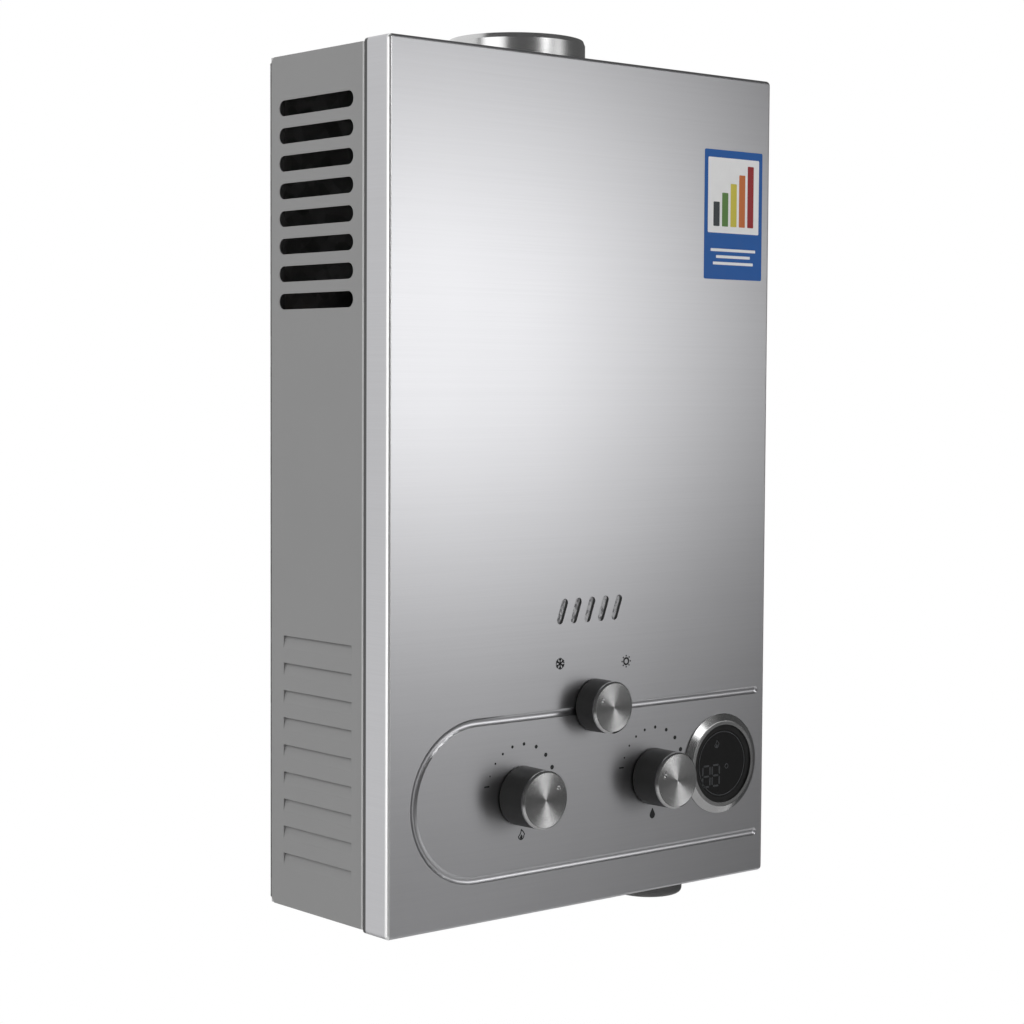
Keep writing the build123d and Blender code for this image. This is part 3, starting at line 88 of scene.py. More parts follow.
# Display, from the lens's middle
DIGIT_W, DIGIT_H, DIGIT_BAR = 0.0092, 0.0192, 0.0017
DIGITS_X, DIGITS_UP = (-0.0200, -0.0078), -0.0104
MASK_R, FINE_RING_R, FINE_LINE = 0.0312, 0.0298, 0.0008
DEGREE_R, DEGREE_X, DEGREE_UP = 0.0024, 0.0062, -0.0032
FLAME_SIGN, FLAME_X, FLAME_UP = 0.0078, -0.007, 0.0176

# Sticker; what is printed on it is measured from its middle
LABEL_X, LABEL_Z = 0.1735, 0.2423
LABEL_W, LABEL_H, LABEL_CORNER = 0.075, 0.117, 0.0016
PANEL_W, PANEL_H, PANEL_CORNER = 0.066, 0.068, 0.0012  # white field
PANEL_UP = 0.0175
BAR_PITCH = PANEL_W / 6
BAR_W, BAR_CORNER = BAR_PITCH * 0.72, 0.0008
BAR_FOOT = PANEL_UP - PANEL_H / 2 + 0.006
BAR_SHORT, BAR_GROWTH = 0.022, 0.0085  # the first bar, and how much each next one gains
LINES = ((0.058, 0.006), (0.044, 0.0), (0.052, -0.006))  # width, and place above the middle one
LINE_H, LINE_CORNER, LINES_UP = 0.0026, 0.0006, -0.038

# Pipe fittings
BORE_R, TIP_R, SHANK_R, FLANGE_R, SOCKET_R = 0.006, 0.0091, 0.012, 0.015, 0.0115
FLANGE_FOOT, FLANGE_TOP = 0.017, 0.014  # below the fitting's top
THREAD_ROOT, THREAD_CREST, THREAD_PITCH = 0.0094, 0.01048, 0.001814
THREAD_START, THREAD_SPARE = 0.0006, 0.0008  # bare length at the tip, and in all
TOOTH = ((THREAD_ROOT, 0.0), (THREAD_CREST, 0.38),
         (THREAD_CREST, 0.5), (THREAD_ROOT, 0.88))  # radius, and share of a turn
ROUND_STEPS, THREAD_STEPS = 48, 32

# Studio
ROOM_R, ROOM_HEADINGS, ROOM_HEIGHTS = 2.5, (-104, 140), (-38, 78)  # part of a dome; angles in degrees
ROOM_GLOW, LOW_GLOW = 0.12, 0.6  # light of its walls, and what is added low on the left
WINDOWS = (  # stretch, middle, full within, gone beyond, strength
    ((1.09, 1.09, 1.3), (1.34, -2.10, 0.205), 0.0, 1.0, 2.7),  # level with the heater
    ((1.7, 1.7, 2.4), (0.38, -2.24, 1.02), 0.2, 1.0, 5.8),  # above it
    ((1, 1, 0), (1.30, -2.13, 0), 0.1, 0.95, 0.3),  # tall and faint, behind the first
    ((1, 1, 0.9), (-2.43, -0.60, 0.2), 0.8, 1.1, 1.9),  # on the left
)
FLOOR_R, FLOOR_Y, FLOOR_Z = 1.25, -0.1, -0.82


def middle(node):
    low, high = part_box(node)
    return (low + high) / 2


class Value:
    """A shader value; a sum on it adds a Math node beside it."""

    def __init__(self, nodes, socket):
        self.nodes = nodes
        self.socket = socket

    def sum(self, operation, first, second):
        return self.nodes.add("ShaderNodeMath", {"operation": operation}, {0: first, 1: second})

    def __add__(self, other):
        return self.sum("ADD", self, other)

    def __radd__(self, other):
        return self.sum("ADD", other, self)

    def __sub__(self, other):
        return self.sum("SUBTRACT", self, other)

    def __mul__(self, other):
        return self.sum("MULTIPLY", self, other)


class Nodes:
    """The nodes of one finish, or of the studio's surroundings."""

    def __init__(self, tree):
        self.tree = tree
        self.tree.nodes.clear()

    def add(self, kind, settings=None, sockets=None, output=0):
        node = self.tree.nodes.new(kind)
        for name, value in (settings or {}).items():
            setattr(node, name, value)
        for name, value in (sockets or {}).items():
            if isinstance(value, Value):
                self.tree.links.new(value.socket, node.inputs[name])
            else:
                node.inputs[name].default_value = value
        return Value(self, node.outputs[output]) if node.outputs else None

    def place(self, scale=(1, 1, 1), centre=(0, 0, 0)):
        """Object coordinates, measured from a middle and stretched."""
        start = [-c * s for c, s in zip(centre, scale)]
        point = self.add("ShaderNodeTexCoord", output="Object")
        return self.add("ShaderNodeMapping", None, {"Vector": point, "Location": start, "Scale": scale})

    def noise(self, point, scale=1.0, detail=2.0):
        sockets = {"Vector": point, "Scale": scale, "Detail": detail}
        return self.add("ShaderNodeTexNoise", None, sockets)

    def cells(self, point, scale, output="Distance"):
        return self.add("ShaderNodeTexVoronoi", None, {"Vector": point, "Scale": scale}, output)

    def axis(self, point, name):
        return self.add("ShaderNodeSeparateXYZ", None, {0: point}, name)

    def reach(self, point):
        return self.add("ShaderNodeVectorMath", {"operation": "LENGTH"}, {0: point}, "Value")

    def size(self, value):
        return self.add("ShaderNodeMath", {"operation": "ABSOLUTE"}, {0: value})

    def fade(self, value, start, end, low=0.0, high=1.0):
        """Goes smoothly from low to high while the value goes from start to end."""
        sockets = {"Value": value, "From Min": start, "From Max": end, "To Min": low, "To Max": high}
        return self.add("ShaderNodeMapRange", {"interpolation_type": "SMOOTHSTEP"}, sockets, "Result")

    def blend(self, share, first, second):
        return self.add("ShaderNodeMix", {"data_type": "RGBA"}, {0: share, 6: first, 7: second}, 2)

    def bump(self, height, depth):
        return self.add("ShaderNodeBump", None, {"Height": height, "Distance": depth, "Strength": 1.0})

    def surface(self, colour, roughness, normal, metallic=0.0, **constants):
        sockets = {"Base Color": colour, "Roughness": roughness, "Normal": normal, "Metallic": metallic}
        for name, value in constants.items():
            sockets[name.replace("_", " ")] = value
        shader = self.add("ShaderNodeBsdfPrincipled", None, sockets)
        self.add("ShaderNodeOutputMaterial", None, {"Surface": shader})


def finish(name):
    material = bpy.data.materials.new(name)
    material.use_nodes = True
    return material, Nodes(material.node_tree)


def grey(value):
    return (value, value, value, 1.0)


def tone(red, green, blue):
    """A colour as a paint chart gives it, 0 to 255."""
    shares = [c / 255 for c in (red, green, blue)]
    return (*[s / 12.92 if s <= 0.04045 else ((s + 0.055) / 1.055) ** 2.4 for s in shares], 1.0)


# Finishes

def brushed_steel(name):
    """Sheet brushed level: long fine lines, cloudy bands, a painted highlight on the fold and painted shade
    on the lap at the rear.
    """
    material, steel = finish(name)
    lines = steel.noise(steel.place((6, 6, 2600)), detail=2)
    bands = steel.noise(steel.place((1.6, 1.6, 420)), detail=3)
    clouds = steel.noise(steel.place(), 6.0, 3)
    shade = lines * 0.5 + bands * 0.25 + clouds * 0.25
    dark, light = (0.468, 0.468, 0.482, 1.0), (0.500, 0.500, 0.514, 1.0)
    colour = steel.blend(steel.fade(shade, 0.3, 0.7), dark, light)
    out = steel.size(steel.axis(steel.place(), "X"))
    depth = steel.axis(steel.place(), "Y")
    # painted highlight along the rounded fold round the cover's face
    fold = steel.fade(out, SIDE_X - FOLD, SIDE_X - FOLD + 0.0012)
    fold = fold * steel.fade(depth, FRONT_Y + FOLD, FRONT_Y + FOLD - 0.0008)
    # painted shade of the gap where the cover's rear edge laps over the sides
    lap = steel.fade(depth, COVER_REAR - LAP, COVER_REAR - LAP + 0.0007)
    lap = lap * steel.fade(out, SIDE_X - 0.0016, SIDE_X - 0.0008)
    # painted highlight on the fold, then painted shade on the lap
    colour = steel.blend(fold, colour, grey(0.92))
    colour = steel.blend(lap, colour, grey(0.085))
    roughness = 0.255 + lines * 0.03 + clouds * 0.04 + fold * 0.1
    steel.surface(colour, roughness, steel.bump(lines * 0.7 + bands * 0.3, 0.0000014), 1.0,
                  Anisotropic=0.4, Anisotropic_Rotation=0.25)
    return material


def satin_paint(name):
    """Grey baked paint with orange peel, and a painted highlight along its front edge."""
    material, paint = finish(name)
    peel = paint.noise(paint.place(), 620.0, 2)
    grain = paint.noise(paint.place(), 2600.0, 1)
    clouds = paint.noise(paint.place(), 9.0, 3)
    depth = paint.axis(paint.place(), "Y")
    # painted highlight on the rounded front edge of the side sheet, just behind the cover
    rubbed = paint.fade(depth, COVER_REAR + RUBBED, COVER_REAR + RUBBED - 0.0007)
    colour = paint.blend(clouds * 0.6 + grain * 0.4, grey(0.215), grey(0.265))
    colour = paint.blend(rubbed * (0.7 + clouds * 0.3), colour, grey(0.54))
    paint.surface(colour, 0.4 + clouds * 0.12 + peel * 0.05, paint.bump(peel + grain * 0.25, 0.00003))
    return material


def spangled_zinc(name):
    """Galvanised sheet with its flat crystals."""
    material, zinc = finish(name)
    crystals = zinc.axis(zinc.cells(zinc.place(), 85.0, "Color"), "X")
    edges = zinc.cells(zinc.place(), 85.0)
    fog = zinc.noise(zinc.place(), 40.0, 4)
    colour = zinc.blend(crystals * 0.7 + fog * 0.3, grey(0.40), grey(0.58))
    zinc.surface(colour, 0.3 + crystals * 0.16 + fog * 0.1, zinc.bump(edges + fog * 0.2, 0.00004), 1.0)
    return material


def rolled_steel(name):
    """Bright rolled sheet of the flue collar, with lines round it."""
    material, steel = finish(name)
    lines = steel.noise(steel.place((14, 14, 3200)), detail=2)
    smears = steel.noise(steel.place((1, 1, 0.3)), 55.0, 3)
    colour = steel.blend(lines * 0.6 + smears * 0.4, grey(0.50), grey(0.68))
    steel.surface(colour, 0.14 + smears * 0.14 + lines * 0.05, steel.bump(lines, 0.000006), 1.0)
    return material


def moulded_plastic(name, dark, light, roughness):
    """Fine spark-eroded grain with dull and rubbed patches."""
    material, plastic = finish(name)
    grain = plastic.noise(plastic.place(), 2400.0, 2)
    handled = plastic.noise(plastic.place(), 60.0, 3)
    colour = plastic.blend(grain * 0.5 + handled * 0.5, dark, light)
    plastic.surface(colour, roughness - 0.08 + handled * 0.16, plastic.bump(grain, 0.00003),
                    Specular_IOR_Level=0.32)
    return material


def spun_metal(name, cap, pointer):
    """Turned aluminium: fine rings about the cap's middle, with a plain polished bevel and dimple."""
    material, metal = finish(name)
    low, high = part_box(cap)
    cap_r = (high.x - low.x) / 2
    face = cap_r - CAP_BEVEL
    centre = (low + high) / 2
    way = math.radians(pointer)
    dimple = centre + DIMPLE_SHARE * (cap_r + CAP_INSET) * Vector((math.cos(way), 0, math.sin(way)))
    radius = metal.reach(metal.place((1, 0, 1), centre))
    from_dimple = metal.reach(metal.place((1, 0, 1), dimple))
    rings = metal.add("ShaderNodeMath", {"operation": "PINGPONG"}, {0: radius, 1: RING_WIDTH})
    uneven = metal.add("ShaderNodeTexNoise", {"noise_dimensions": "1D"},
                       {"W": radius, "Scale": 900.0, "Detail": 1.0})
    turned_face = metal.fade(radius, face, face - 0.0003)
    turned_face = turned_face * metal.fade(from_dimple, DIMPLE_R, DIMPLE_R + 0.0006)
    dust = metal.noise(metal.place(), 300.0, 2)
    colour = metal.blend(uneven * 0.5 + dust * 0.5, grey(0.38), grey(0.48))
    metal.surface(colour, 0.12 + turned_face * 0.02 + dust * 0.05,
                  metal.bump(rings * turned_face * (0.7 + uneven * 0.6), RING_SLOPE), 1.0)
    return material


def smoked_lens(name):
    """Black clear-faced plastic with faint wiping marks."""
    material, lens = finish(name)
    wiped = lens.noise(lens.place((1, 1, 4)), 40.0, 4)
    dust = lens.noise(lens.place(), 900.0, 1)
    colour = lens.blend(dust, grey(0.006), grey(0.011))
    lens.surface(colour, 0.07 + wiped * 0.1, lens.bump(wiped, 0.00001), Specular_IOR_Level=0.3)
    return material


def cast_metal(name, dark, light, roughness, scale, metallic=1.0, depth=0.00006):
    """Metal with a grainy skin and a patchy tarnish."""
    material, metal = finish(name)
    skin = metal.noise(metal.place(), scale, 3)
    tarnish = metal.noise(metal.place(), 34.0, 4)
    colour = metal.blend(metal.fade(tarnish * 0.7 + skin * 0.3, 0.3, 0.7), dark, light)
    metal.surface(colour, roughness - 0.1 + tarnish * 0.2, metal.bump(skin, depth), metallic)
    return material


def mottled_mica(name):
    """Sheet of mica: cloudy, with flakes, and painted shadow along the right edge of each slot."""
    material, mica = finish(name)
    flakes = mica.axis(mica.cells(mica.place((1, 1, 0.7)), 520.0, "Color"), "X")
    clouds = mica.noise(mica.place(), 260.0, 4)
    shade = flakes * 0.4 + clouds * 0.6
    point = mica.place((math.cos(SLOT_LEAN), 0, math.sin(SLOT_LEAN)), (0, 0, SLOT_Z))
    across = mica.axis(point, "X") - mica.axis(point, "Z")
    half = SLOT_PITCH * math.cos(SLOT_LEAN) / 2
    across = mica.add("ShaderNodeMath", {"operation": "WRAP"}, {0: across, 1: half, 2: -half})
    # painted shadow that the sheet's slot edges cast on the mica behind them
    soot = mica.fade(across + clouds * 0.0012, 0.0012, 0.0024)
    colour = mica.blend(mica.fade(shade, 0.25, 0.75), tone(88, 88, 90), tone(188, 188, 190))
    colour = mica.blend(soot, colour, grey(0.012))
    mica.surface(colour, 0.25 + clouds * 0.2 + soot * 0.2, mica.bump(flakes + clouds, 0.00005))
    return material


def printed(name, colour, gloss=0.45):
    """Ink or film colour with an uneven lay."""
    material, ink = finish(name)
    lay = ink.noise(ink.place(), 1800.0, 2)
    cloud = ink.noise(ink.place(), 120.0, 2)
    thin = tuple(0.86 * c + 0.02 for c in colour[:3]) + (1.0,)
    ink.surface(ink.blend(lay * 0.5 + cloud * 0.5, thin, colour), gloss - 0.06 + lay * 0.12,
                ink.bump(lay, 0.000008), Specular_IOR_Level=0.28)
    return material


FINISHES = {
    "front_steel": brushed_steel("brushed_front"),
    "side_paint": satin_paint("satin_grey"),
    "zinc_sheet": spangled_zinc("spangled_zinc"),
    "flue_steel": rolled_steel("rolled_collar"),
    "black_plastic": moulded_plastic("charcoal_plastic", grey(0.013), grey(0.021), 0.46),
    "dark_metal": cast_metal("satin_chrome", grey(0.36), grey(0.44), 0.2, 1400.0, depth=0.00001),
    "smoked_lens": smoked_lens("smoked_lens"),
    "copper": cast_metal("drawn_copper", tone(150, 84, 58), tone(214, 138, 104), 0.34, 700.0),
    "brass": cast_metal("turned_brass", tone(158, 124, 62), tone(214, 182, 112), 0.32, 1100.0),
    "die_cast": cast_metal("die_cast_alloy", tone(128, 130, 132), tone(170, 171, 172), 0.48, 900.0),
    "stainless": cast_metal("pickled_stainless", tone(136, 134, 130), tone(186, 184, 180), 0.36, 1300.0),
    "white_ceramic": cast_metal("glazed_ceramic", tone(214, 209, 196), tone(238, 235, 226), 0.3, 500.0, 0.0),
    "black_rubber": moulded_plastic("moulded_rubber", grey(0.012), grey(0.024), 0.7),
    "mica": mottled_mica("mottled_mica"),
    "cell_wrap": moulded_plastic("shrink_wrap", tone(44, 60, 84), tone(62, 82, 110), 0.32),
    "spindle_steel": cast_metal("turned_steel", tone(142, 143, 146), tone(196, 197, 200), 0.3, 1600.0),
}
CAPS = {name: spun_metal("spun_" + name, name, pointer) for name, pointer in
        (("gas_knob_cap", 34), ("water_knob_cap", 160), ("season_knob_cap", 152))}

# Pieces behind the vents, inside the case, are painted near black as painted shade
heated = cast_metal("heat_darkened", grey(0.045), grey(0.11), 0.5, 900.0)
SPECIAL = {name: heated for name in ("flue_hood", "combustion_chamber", "mounting_rails")}
# the battery cap is black plastic painted a lighter grey: painted light from below and in front
SPECIAL["battery_cap"] = moulded_plastic("dark_grey_plastic", grey(0.10), grey(0.14), 0.42)

for name, node in nodes.items():
    for slot in node.material_slots:
        slot.material = CAPS.get(name) or SPECIAL.get(name) or FINISHES[slot.material.name]

BLACK_INK = printed("black_ink", tone(26, 26, 28))
FAINT_INK = printed("faint_segments", tone(62, 64, 66), 0.3)
MASK_INK = printed("black_mask", grey(0.003), 0.3)
LABEL_BLUE = printed("label_blue", tone(10, 86, 162), 0.4)
LABEL_WHITE = printed("label_white", tone(238, 238, 238), 0.4)
BAR_COLOURS = [printed("bar_" + name, colour, 0.4) for name, colour in (
    ("slate", tone(52, 58, 62)), ("green", tone(88, 128, 62)), ("yellow", tone(204, 190, 70)),
    ("orange", tone(196, 108, 52)), ("red", tone(150, 34, 38)))]


# Printed marks, films and signs: flat patches drawn in their own plane, then set on the front

def patch(width, height, corner=0.0, rounding=4):
    """A flat rectangle with rounded or cut corners."""
    flat = bmesh.new()
    bmesh.ops.create_grid(flat, x_segments=1, y_segments=1, size=0.5)
    bmesh.ops.scale(flat, vec=(width, height, 1), verts=flat.verts)
    if corner:
        bmesh.ops.bevel(flat, geom=flat.verts[:], offset=corner, offset_type="OFFSET", affect="VERTICES",
                        segments=rounding, profile=0.5, material=-1)
    return flat


def disc(radius, sides=24):
    flat = bmesh.new()
    bmesh.ops.create_circle(flat, cap_ends=True, segments=sides, radius=radius)
    return flat


def ring(radius, width, sides=72):
    """A flat ring, its outer edge at the radius."""
    flat = bmesh.new()
    bmesh.ops.create_circle(flat, cap_ends=False, segments=sides, radius=radius)
    inner = bmesh.ops.extrude_edge_only(flat, edges=flat.edges[:])["geom"]
    inner = [g for g in inner if isinstance(g, bmesh.types.BMVert)]
    share = 1 - width / radius
    bmesh.ops.scale(flat, vec=(share, share, 1), verts=inner)
    return flat


def drop(width, height, lean=0.0):
    """A round foot drawn up to a point; a lean makes it a flame."""
    flat = disc(0.5, 32)
    for v in flat.verts:
        up = max(0.0, v.co.y * 2)
        v.co.x *= 1 - up ** 2 * 0.55 if up < 0.999 else 0.0
        v.co.y += 0.35 * up ** 3
        v.co.x += lean * up * (1 - up)
    bmesh.ops.scale(flat, vec=(width, height / 1.35, 1), verts=flat.verts)
    return flat


def turned(flat, degrees, x=0.0, y=0.0):
    """Turns a patch in its plane, then moves it."""
    turn = Matrix.Rotation(math.radians(degrees), 4, "Z")
    bmesh.ops.transform(flat, matrix=Matrix.Translation((x, y, 0)) @ turn, verts=flat.verts)
    return flat


def set_on_front(name, flats, x, z, y, material, thickness=INK):
    """Joins patches to one thin film that lies on the front at x, z."""
    whole = bmesh.new()
    for flat in flats:
        part = bpy.data.meshes.new("part")
        flat.to_mesh(part)
        flat.free()
        whole.from_mesh(part)
        bpy.data.meshes.remove(part)
    lift = bmesh.ops.extrude_face_region(whole, geom=whole.faces[:])
    raised = [g for g in lift["geom"] if isinstance(g, bmesh.types.BMVert)]
    bmesh.ops.translate(whole, vec=(0, 0, thickness), verts=raised)
    bmesh.ops.recalc_face_normals(whole, faces=whole.faces[:])
    upright = Matrix.Translation((x, y, z)) @ Matrix.Rotation(math.pi / 2, 4, "X")
    bmesh.ops.transform(whole, matrix=upright, verts=whole.verts)
    keep(name, whole, material, "casing")


def keep(name, whole, material, body):
    """Makes a finished mesh a piece of the heater."""
    mesh = bpy.data.meshes.new(name)
    whole.to_mesh(mesh)
    whole.free()
    mesh.materials.append(material)
    piece = bpy.data.objects.new(name, mesh)
    scene.collection.objects.link(piece)
    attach(piece, body)
    return piece


def dial(name, knob, signs):
    """Dots that grow round a main knob, a dash at the low end, and the knob's sign below."""
    flats = []
    for count, angle in enumerate(DOT_ANGLES):
        size = DOT_SMALL + (DOT_LARGE - DOT_SMALL) * count / (len(DOT_ANGLES) - 1)
        way = math.radians(angle)
        flats.append(turned(disc(size / 2), 0, DIAL_R * math.cos(way), DIAL_UP + DIAL_R * math.sin(way)))
    flats.append(turned(patch(DASH_W, DASH_H, DASH_CORNER), 0, DASH_X, DIAL_UP + DASH_UP))
    flats.extend(turned(sign, 0, 0, -CAPTION_DROP) for sign in signs)
    place = middle(knob)
    set_on_front(name, flats, place.x, place.z, FRONT_Y, BLACK_INK)


def flame(size):
    """A leaning outline with a small tongue inside it."""
    outline = drop(size * 0.72, size, 0.7)
    hollow = bmesh.ops.inset_region(outline, faces=outline.faces[:], thickness=size * 0.1, use_boundary=True,
                                    use_even_offset=True)
    bmesh.ops.delete(outline, geom=[f for f in outline.faces if f not in hollow["faces"]], context="FACES")
    return [outline, turned(drop(size * 0.3, size * 0.42, 0.5), 0, 0, -size * 0.12)]


def snowflake(size):
    flats = []
    for step in range(3):
        flats.append(turned(patch(size, size * 0.13), 60 * step + 30))
    for step in range(6):
        for side in (-1, 1):
            barb = turned(patch(size * 0.24, size * 0.11), 50 * side, size * 0.36, size * 0.09 * side)
            flats.append(turned(barb, 60 * step + 30))
    return flats


def sun(size):
    flats = [ring(size * 0.33, size * 0.15, 32)]
    for step in range(8):
        flats.append(turned(turned(patch(size * 0.12, size * 0.12), 0, size * 0.44), 45 * step))
    return flats


def digit():
    """One figure of the display with all seven bars."""
    flats = []
    for y in (-DIGIT_H / 2, 0, DIGIT_H / 2):
        flats.append(turned(patch(DIGIT_W - DIGIT_BAR, DIGIT_BAR, DIGIT_BAR * 0.45, 1), 0, 0, y))
    for side in (-1, 1):
        for y in (-DIGIT_H / 4, DIGIT_H / 4):
            bar = patch(DIGIT_H / 2 - DIGIT_BAR, DIGIT_BAR, DIGIT_BAR * 0.45, 1)
            flats.append(turned(bar, 90, side * DIGIT_W / 2, y))
    return flats


def on_lens(name, flats, x=0.0, up=0.0, ink=FAINT_INK):
    """Prints patches on the display's lens, measured from its middle."""
    place = middle("display_lens")
    set_on_front(name, flats, place.x + x, place.z + up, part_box("display_lens")[0].y, ink)


def on_label(name, flats, ink, x=0.0, up=0.0, under=FILM):
    """Prints patches on the sticker, measured from its middle; under is the thickness below them."""
    set_on_front(name, flats, LABEL_X + x, LABEL_Z + up, FRONT_Y - under, ink)


dial("gas_dial", "gas_knob", flame(GAS_SIGN))
dial("water_dial", "water_knob", [drop(WATER_SIGN_W, WATER_SIGN_H)])
set_on_front("winter_sign", snowflake(WINTER_SIGN), WINTER_X, WINTER_Z, FRONT_Y, BLACK_INK)
set_on_front("summer_sign", sun(SUMMER_SIGN), SUMMER_X, SUMMER_Z, FRONT_Y, BLACK_INK)

lens_low, lens_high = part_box("display_lens")
lens_r = (lens_high.x - lens_low.x) / 2
on_lens("display_mask", [ring(lens_r, lens_r - MASK_R, 96)], ink=MASK_INK)
on_lens("display_ring", [ring(FINE_RING_R, FINE_LINE)])
for count, x in enumerate(DIGITS_X):
    on_lens(f"display_digit_{count + 1}", digit(), x, DIGITS_UP)
on_lens("display_degree", [ring(DEGREE_R, FINE_LINE, 32)], DEGREE_X, DEGREE_UP)
on_lens("display_flame", flame(FLAME_SIGN), FLAME_X, FLAME_UP)

set_on_front("label_film", [patch(LABEL_W, LABEL_H, LABEL_CORNER)], LABEL_X, LABEL_Z, FRONT_Y, LABEL_BLUE,
             FILM)
on_label("label_panel", [patch(PANEL_W, PANEL_H, PANEL_CORNER)], LABEL_WHITE, up=PANEL_UP)
for count, colour in enumerate(BAR_COLOURS):
    tall = BAR_SHORT + BAR_GROWTH * count
    on_label(f"label_bar_{count + 1}", [patch(BAR_W, tall, BAR_CORNER)], colour,
             BAR_PITCH * (count - 2), BAR_FOOT + tall / 2, FILM + INK)
label_lines = [turned(patch(width, LINE_H, LINE_CORNER), 0, 0, y) for width, y in LINES]
on_label("label_lines", label_lines, LABEL_WHITE, up=LINES_UP)


# Pipe fittings, with the thread cut on them

def chain(whole, points):
    """Vertices joined in a row by edges."""
    row = [whole.verts.new(p) for p in points]
    return row + [whole.edges.new(pair) for pair in zip(row, row[1:])]


def threaded_fitting(node):
    """Bored brass spigot: thread below the nut, shank, flange and the pipe's socket above it."""
    low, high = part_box(node)
    x, y = (low.x + high.x) / 2, (low.y + high.y) / 2
    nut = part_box("fitting_nuts")[0].z
    start = low.z + THREAD_START
    foot, top = high.z - FLANGE_FOOT, high.z - FLANGE_TOP
    outline = ((BORE_R, low.z), (TIP_R, low.z), (THREAD_ROOT, start), (THREAD_ROOT, nut), (SHANK_R, nut),
               (SHANK_R, foot), (FLANGE_R, foot), (FLANGE_R, top), (SOCKET_R, top), (SOCKET_R, high.z),
               (BORE_R, high.z), (BORE_R, low.z))
    whole = bmesh.new()
    bmesh.ops.spin(whole, geom=chain(whole, [(x + r, y, z) for r, z in outline]), cent=(x, y, 0),
                   axis=(0, 0, 1), angle=math.tau, steps=ROUND_STEPS, use_merge=True)
    turns = int((nut - low.z - THREAD_SPARE) / THREAD_PITCH)
    tooth = chain(whole, [(x + r, y, start + share * THREAD_PITCH) for r, share in TOOTH])
    bmesh.ops.spin(whole, geom=tooth, cent=(x, y, 0), axis=(0, 0, 1), angle=math.tau * turns,
                   dvec=(0, 0, THREAD_PITCH / THREAD_STEPS), steps=THREAD_STEPS * turns)
    bmesh.ops.remove_doubles(whole, verts=whole.verts[:], dist=0.000001)
    bmesh.ops.recalc_face_normals(whole, faces=whole.faces[:])
    piece = keep(node + "_threaded", whole, FINISHES["brass"], "casing")
    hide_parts(node)


for node in ("hot_outlet_fitting", "gas_inlet_fitting", "cold_inlet_fitting"):
    threaded_fitting(node)


# Studio

def studio_card(name, whole, material, seen=False):
    """Part of the studio; one that isn't to be seen still gives light and shows in reflections."""
    mesh = bpy.data.meshes.new(name)
    whole.to_mesh(mesh)
    whole.free()
    mesh.materials.append(material)
    card = bpy.data.objects.new(name, mesh)
    scene.collection.objects.link(card)
    card.visible_camera = seen
    card.visible_shadow = seen


def studio_glow():
    """Soft windows in a dim room that is lighter low on the left."""
    material, glow = finish("studio_glow")
    low = glow.fade(glow.axis(glow.place(), "Z"), -0.7, -1.25)
    low = low * glow.fade(glow.axis(glow.place(), "X"), 0.4, -0.5)
    strength = ROOM_GLOW + low * LOW_GLOW
    for stretch, centre, full, gone, power in WINDOWS:
        strength = strength + glow.fade(glow.reach(glow.place(stretch, centre)), full, gone, power, 0.0)
    light = glow.add("ShaderNodeEmission", None, {"Strength": strength})
    glow.add("ShaderNodeOutputMaterial", None, {"Surface": light})
    return material


def dome(name, material, start, end, low, high):
    """Part of a dome about the heater, between two headings and two heights, in degrees."""
    whole = bmesh.new()
    heading = Matrix.Rotation(math.radians(start), 4, "Z")
    foot = heading @ Matrix.Rotation(math.radians(-low), 4, "X") @ Vector((0, -ROOM_R, 0))
    corner = whole.verts.new(foot)
    bmesh.ops.spin(whole, geom=[corner], cent=(0, 0, 0), axis=heading @ Vector((-1, 0, 0)),
                   angle=math.radians(high - low), steps=24)
    bmesh.ops.spin(whole, geom=whole.verts[:] + whole.edges[:], cent=(0, 0, 0), axis=(0, 0, 1),
                   angle=math.radians(end - start), steps=40)
    bmesh.ops.recalc_face_normals(whole, faces=whole.faces[:])
    studio_card(name, whole, material)


def lamp(name, place, aim, size, power):
    light = bpy.data.lights.new(name, "AREA")
    light.shape = "DISK"
    light.size = size
    light.energy = power
    thing = bpy.data.objects.new(name, light)
    thing.location = place
    thing.rotation_euler = (Vector(aim) - Vector(place)).to_track_quat("-Z", "Y").to_euler()
    thing.visible_glossy = False
    scene.collection.objects.link(thing)


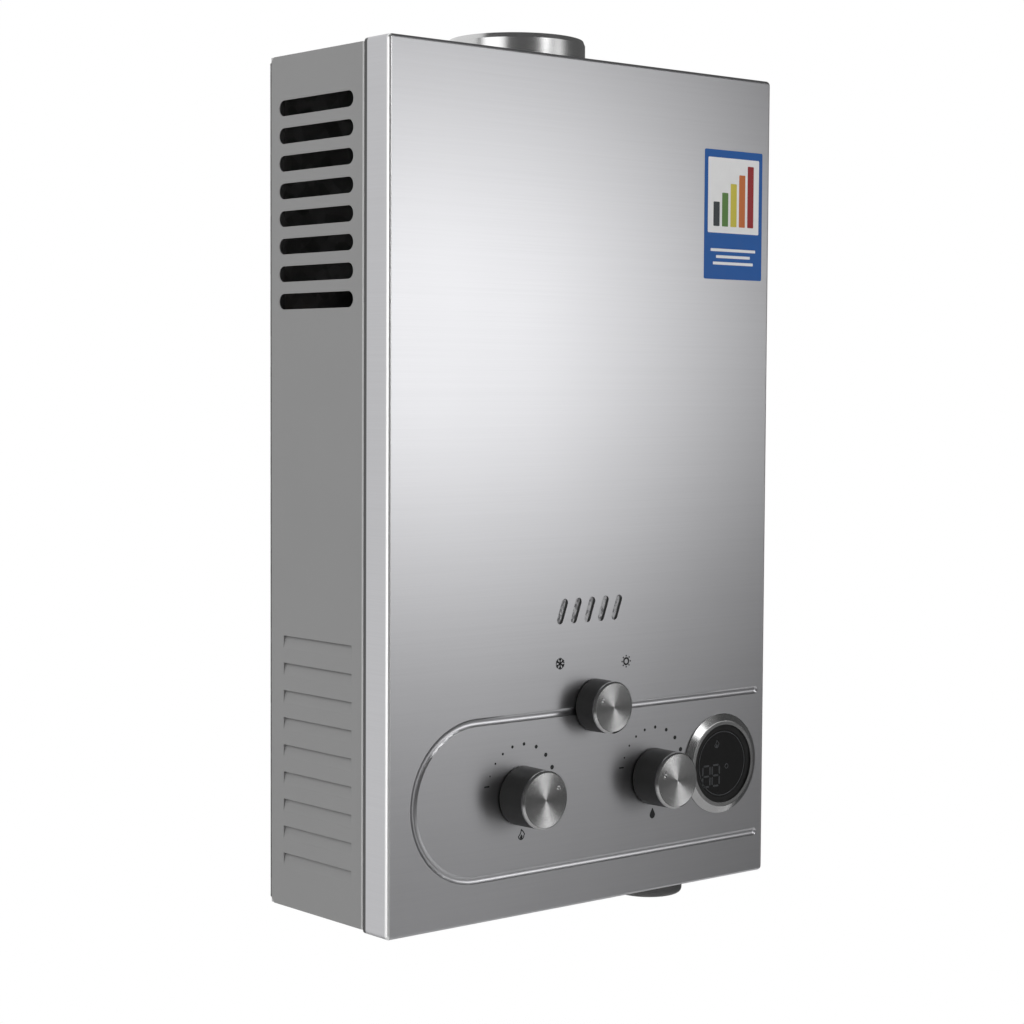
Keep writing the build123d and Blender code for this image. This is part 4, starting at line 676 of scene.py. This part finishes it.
def floor():
    """Pale studio floor that fades out well beyond the heater."""
    whole = bmesh.new()
    bmesh.ops.create_circle(whole, cap_ends=True, segments=96, radius=FLOOR_R)
    bmesh.ops.translate(whole, vec=(0, FLOOR_Y, FLOOR_Z), verts=whole.verts)
    material, ground = finish("studio_floor")
    far = ground.fade(ground.reach(ground.place((1, 1, 0), (0, FLOOR_Y, 0))), 0.45, 1.2)
    speckle = ground.noise(ground.place(), 140.0, 2)
    pale = ground.add("ShaderNodeBsdfDiffuse", None,
                      {"Color": ground.blend(speckle, grey(0.80), grey(0.84))})
    clear = ground.add("ShaderNodeBsdfTransparent")
    both = ground.add("ShaderNodeMixShader", None, {0: far, 1: pale, 2: clear})
    ground.add("ShaderNodeOutputMaterial", None, {"Surface": both})
    studio_card("studio_floor", whole, material, True)


def surroundings():
    """White to the eye and in reflections, soft grey as light."""
    world = bpy.data.worlds.new("studio")
    world.use_nodes = True
    scene.world = world
    sky = Nodes(world.node_tree)
    seen = sky.add("ShaderNodeLightPath", output="Is Camera Ray")
    for ray in ("Is Glossy Ray", "Is Transmission Ray"):
        seen = seen + sky.add("ShaderNodeLightPath", output=ray)
    dim = sky.add("ShaderNodeBackground", None, {"Color": grey(0.45), "Strength": 1.0})
    white = sky.add("ShaderNodeBackground", None, {"Color": grey(1.0), "Strength": 1.0})
    both = sky.add("ShaderNodeMixShader", None, {0: sky.fade(seen, 0.0, 1.0), 1: dim, 2: white})
    sky.add("ShaderNodeOutputWorld", None, {"Surface": both})


def camera():
    """Eye level, to the left of the heater, as the photo was taken."""
    data = bpy.data.cameras.new("camera")
    data.lens = 80.41
    data.sensor_width = 36.0
    data.clip_end = 50.0
    eye = bpy.data.objects.new("camera", data)
    heading, rise, roll, distance = -0.7044, 0.0563, 0.0055, 1.93421
    turn = Matrix.Rotation(heading, 4, "Z") @ Matrix.Rotation(math.pi / 2 - rise, 4, "X")
    target = Vector((-0.08995, -0.170, -0.02045))
    place = target + turn @ Vector((0, 0, distance))
    eye.matrix_world = Matrix.Translation(place) @ turn @ Matrix.Rotation(roll, 4, "Z")
    scene.collection.objects.link(eye)
    scene.camera = eye


for thing in [o for o in bpy.data.objects if o.name in ("Cube", "Light", "Camera")]:
    bpy.data.objects.remove(thing)
camera()
surroundings()
dome("studio_room", studio_glow(), *ROOM_HEADINGS, *ROOM_HEIGHTS)
floor()
lamp("fill_lamp", (-1.7, -0.9, 1.3), (0, -0.08, 0), 1.4, 15.0)
lamp("right_lamp", (2.0, -0.3, 0.9), (0, -0.08, 0), 1.2, 6.0)
lamp("top_lamp", (0.4, -0.8, 2.2), (0, -0.08, 0.1), 1.6, 16.0)
scene.view_settings.view_transform = "Standard"
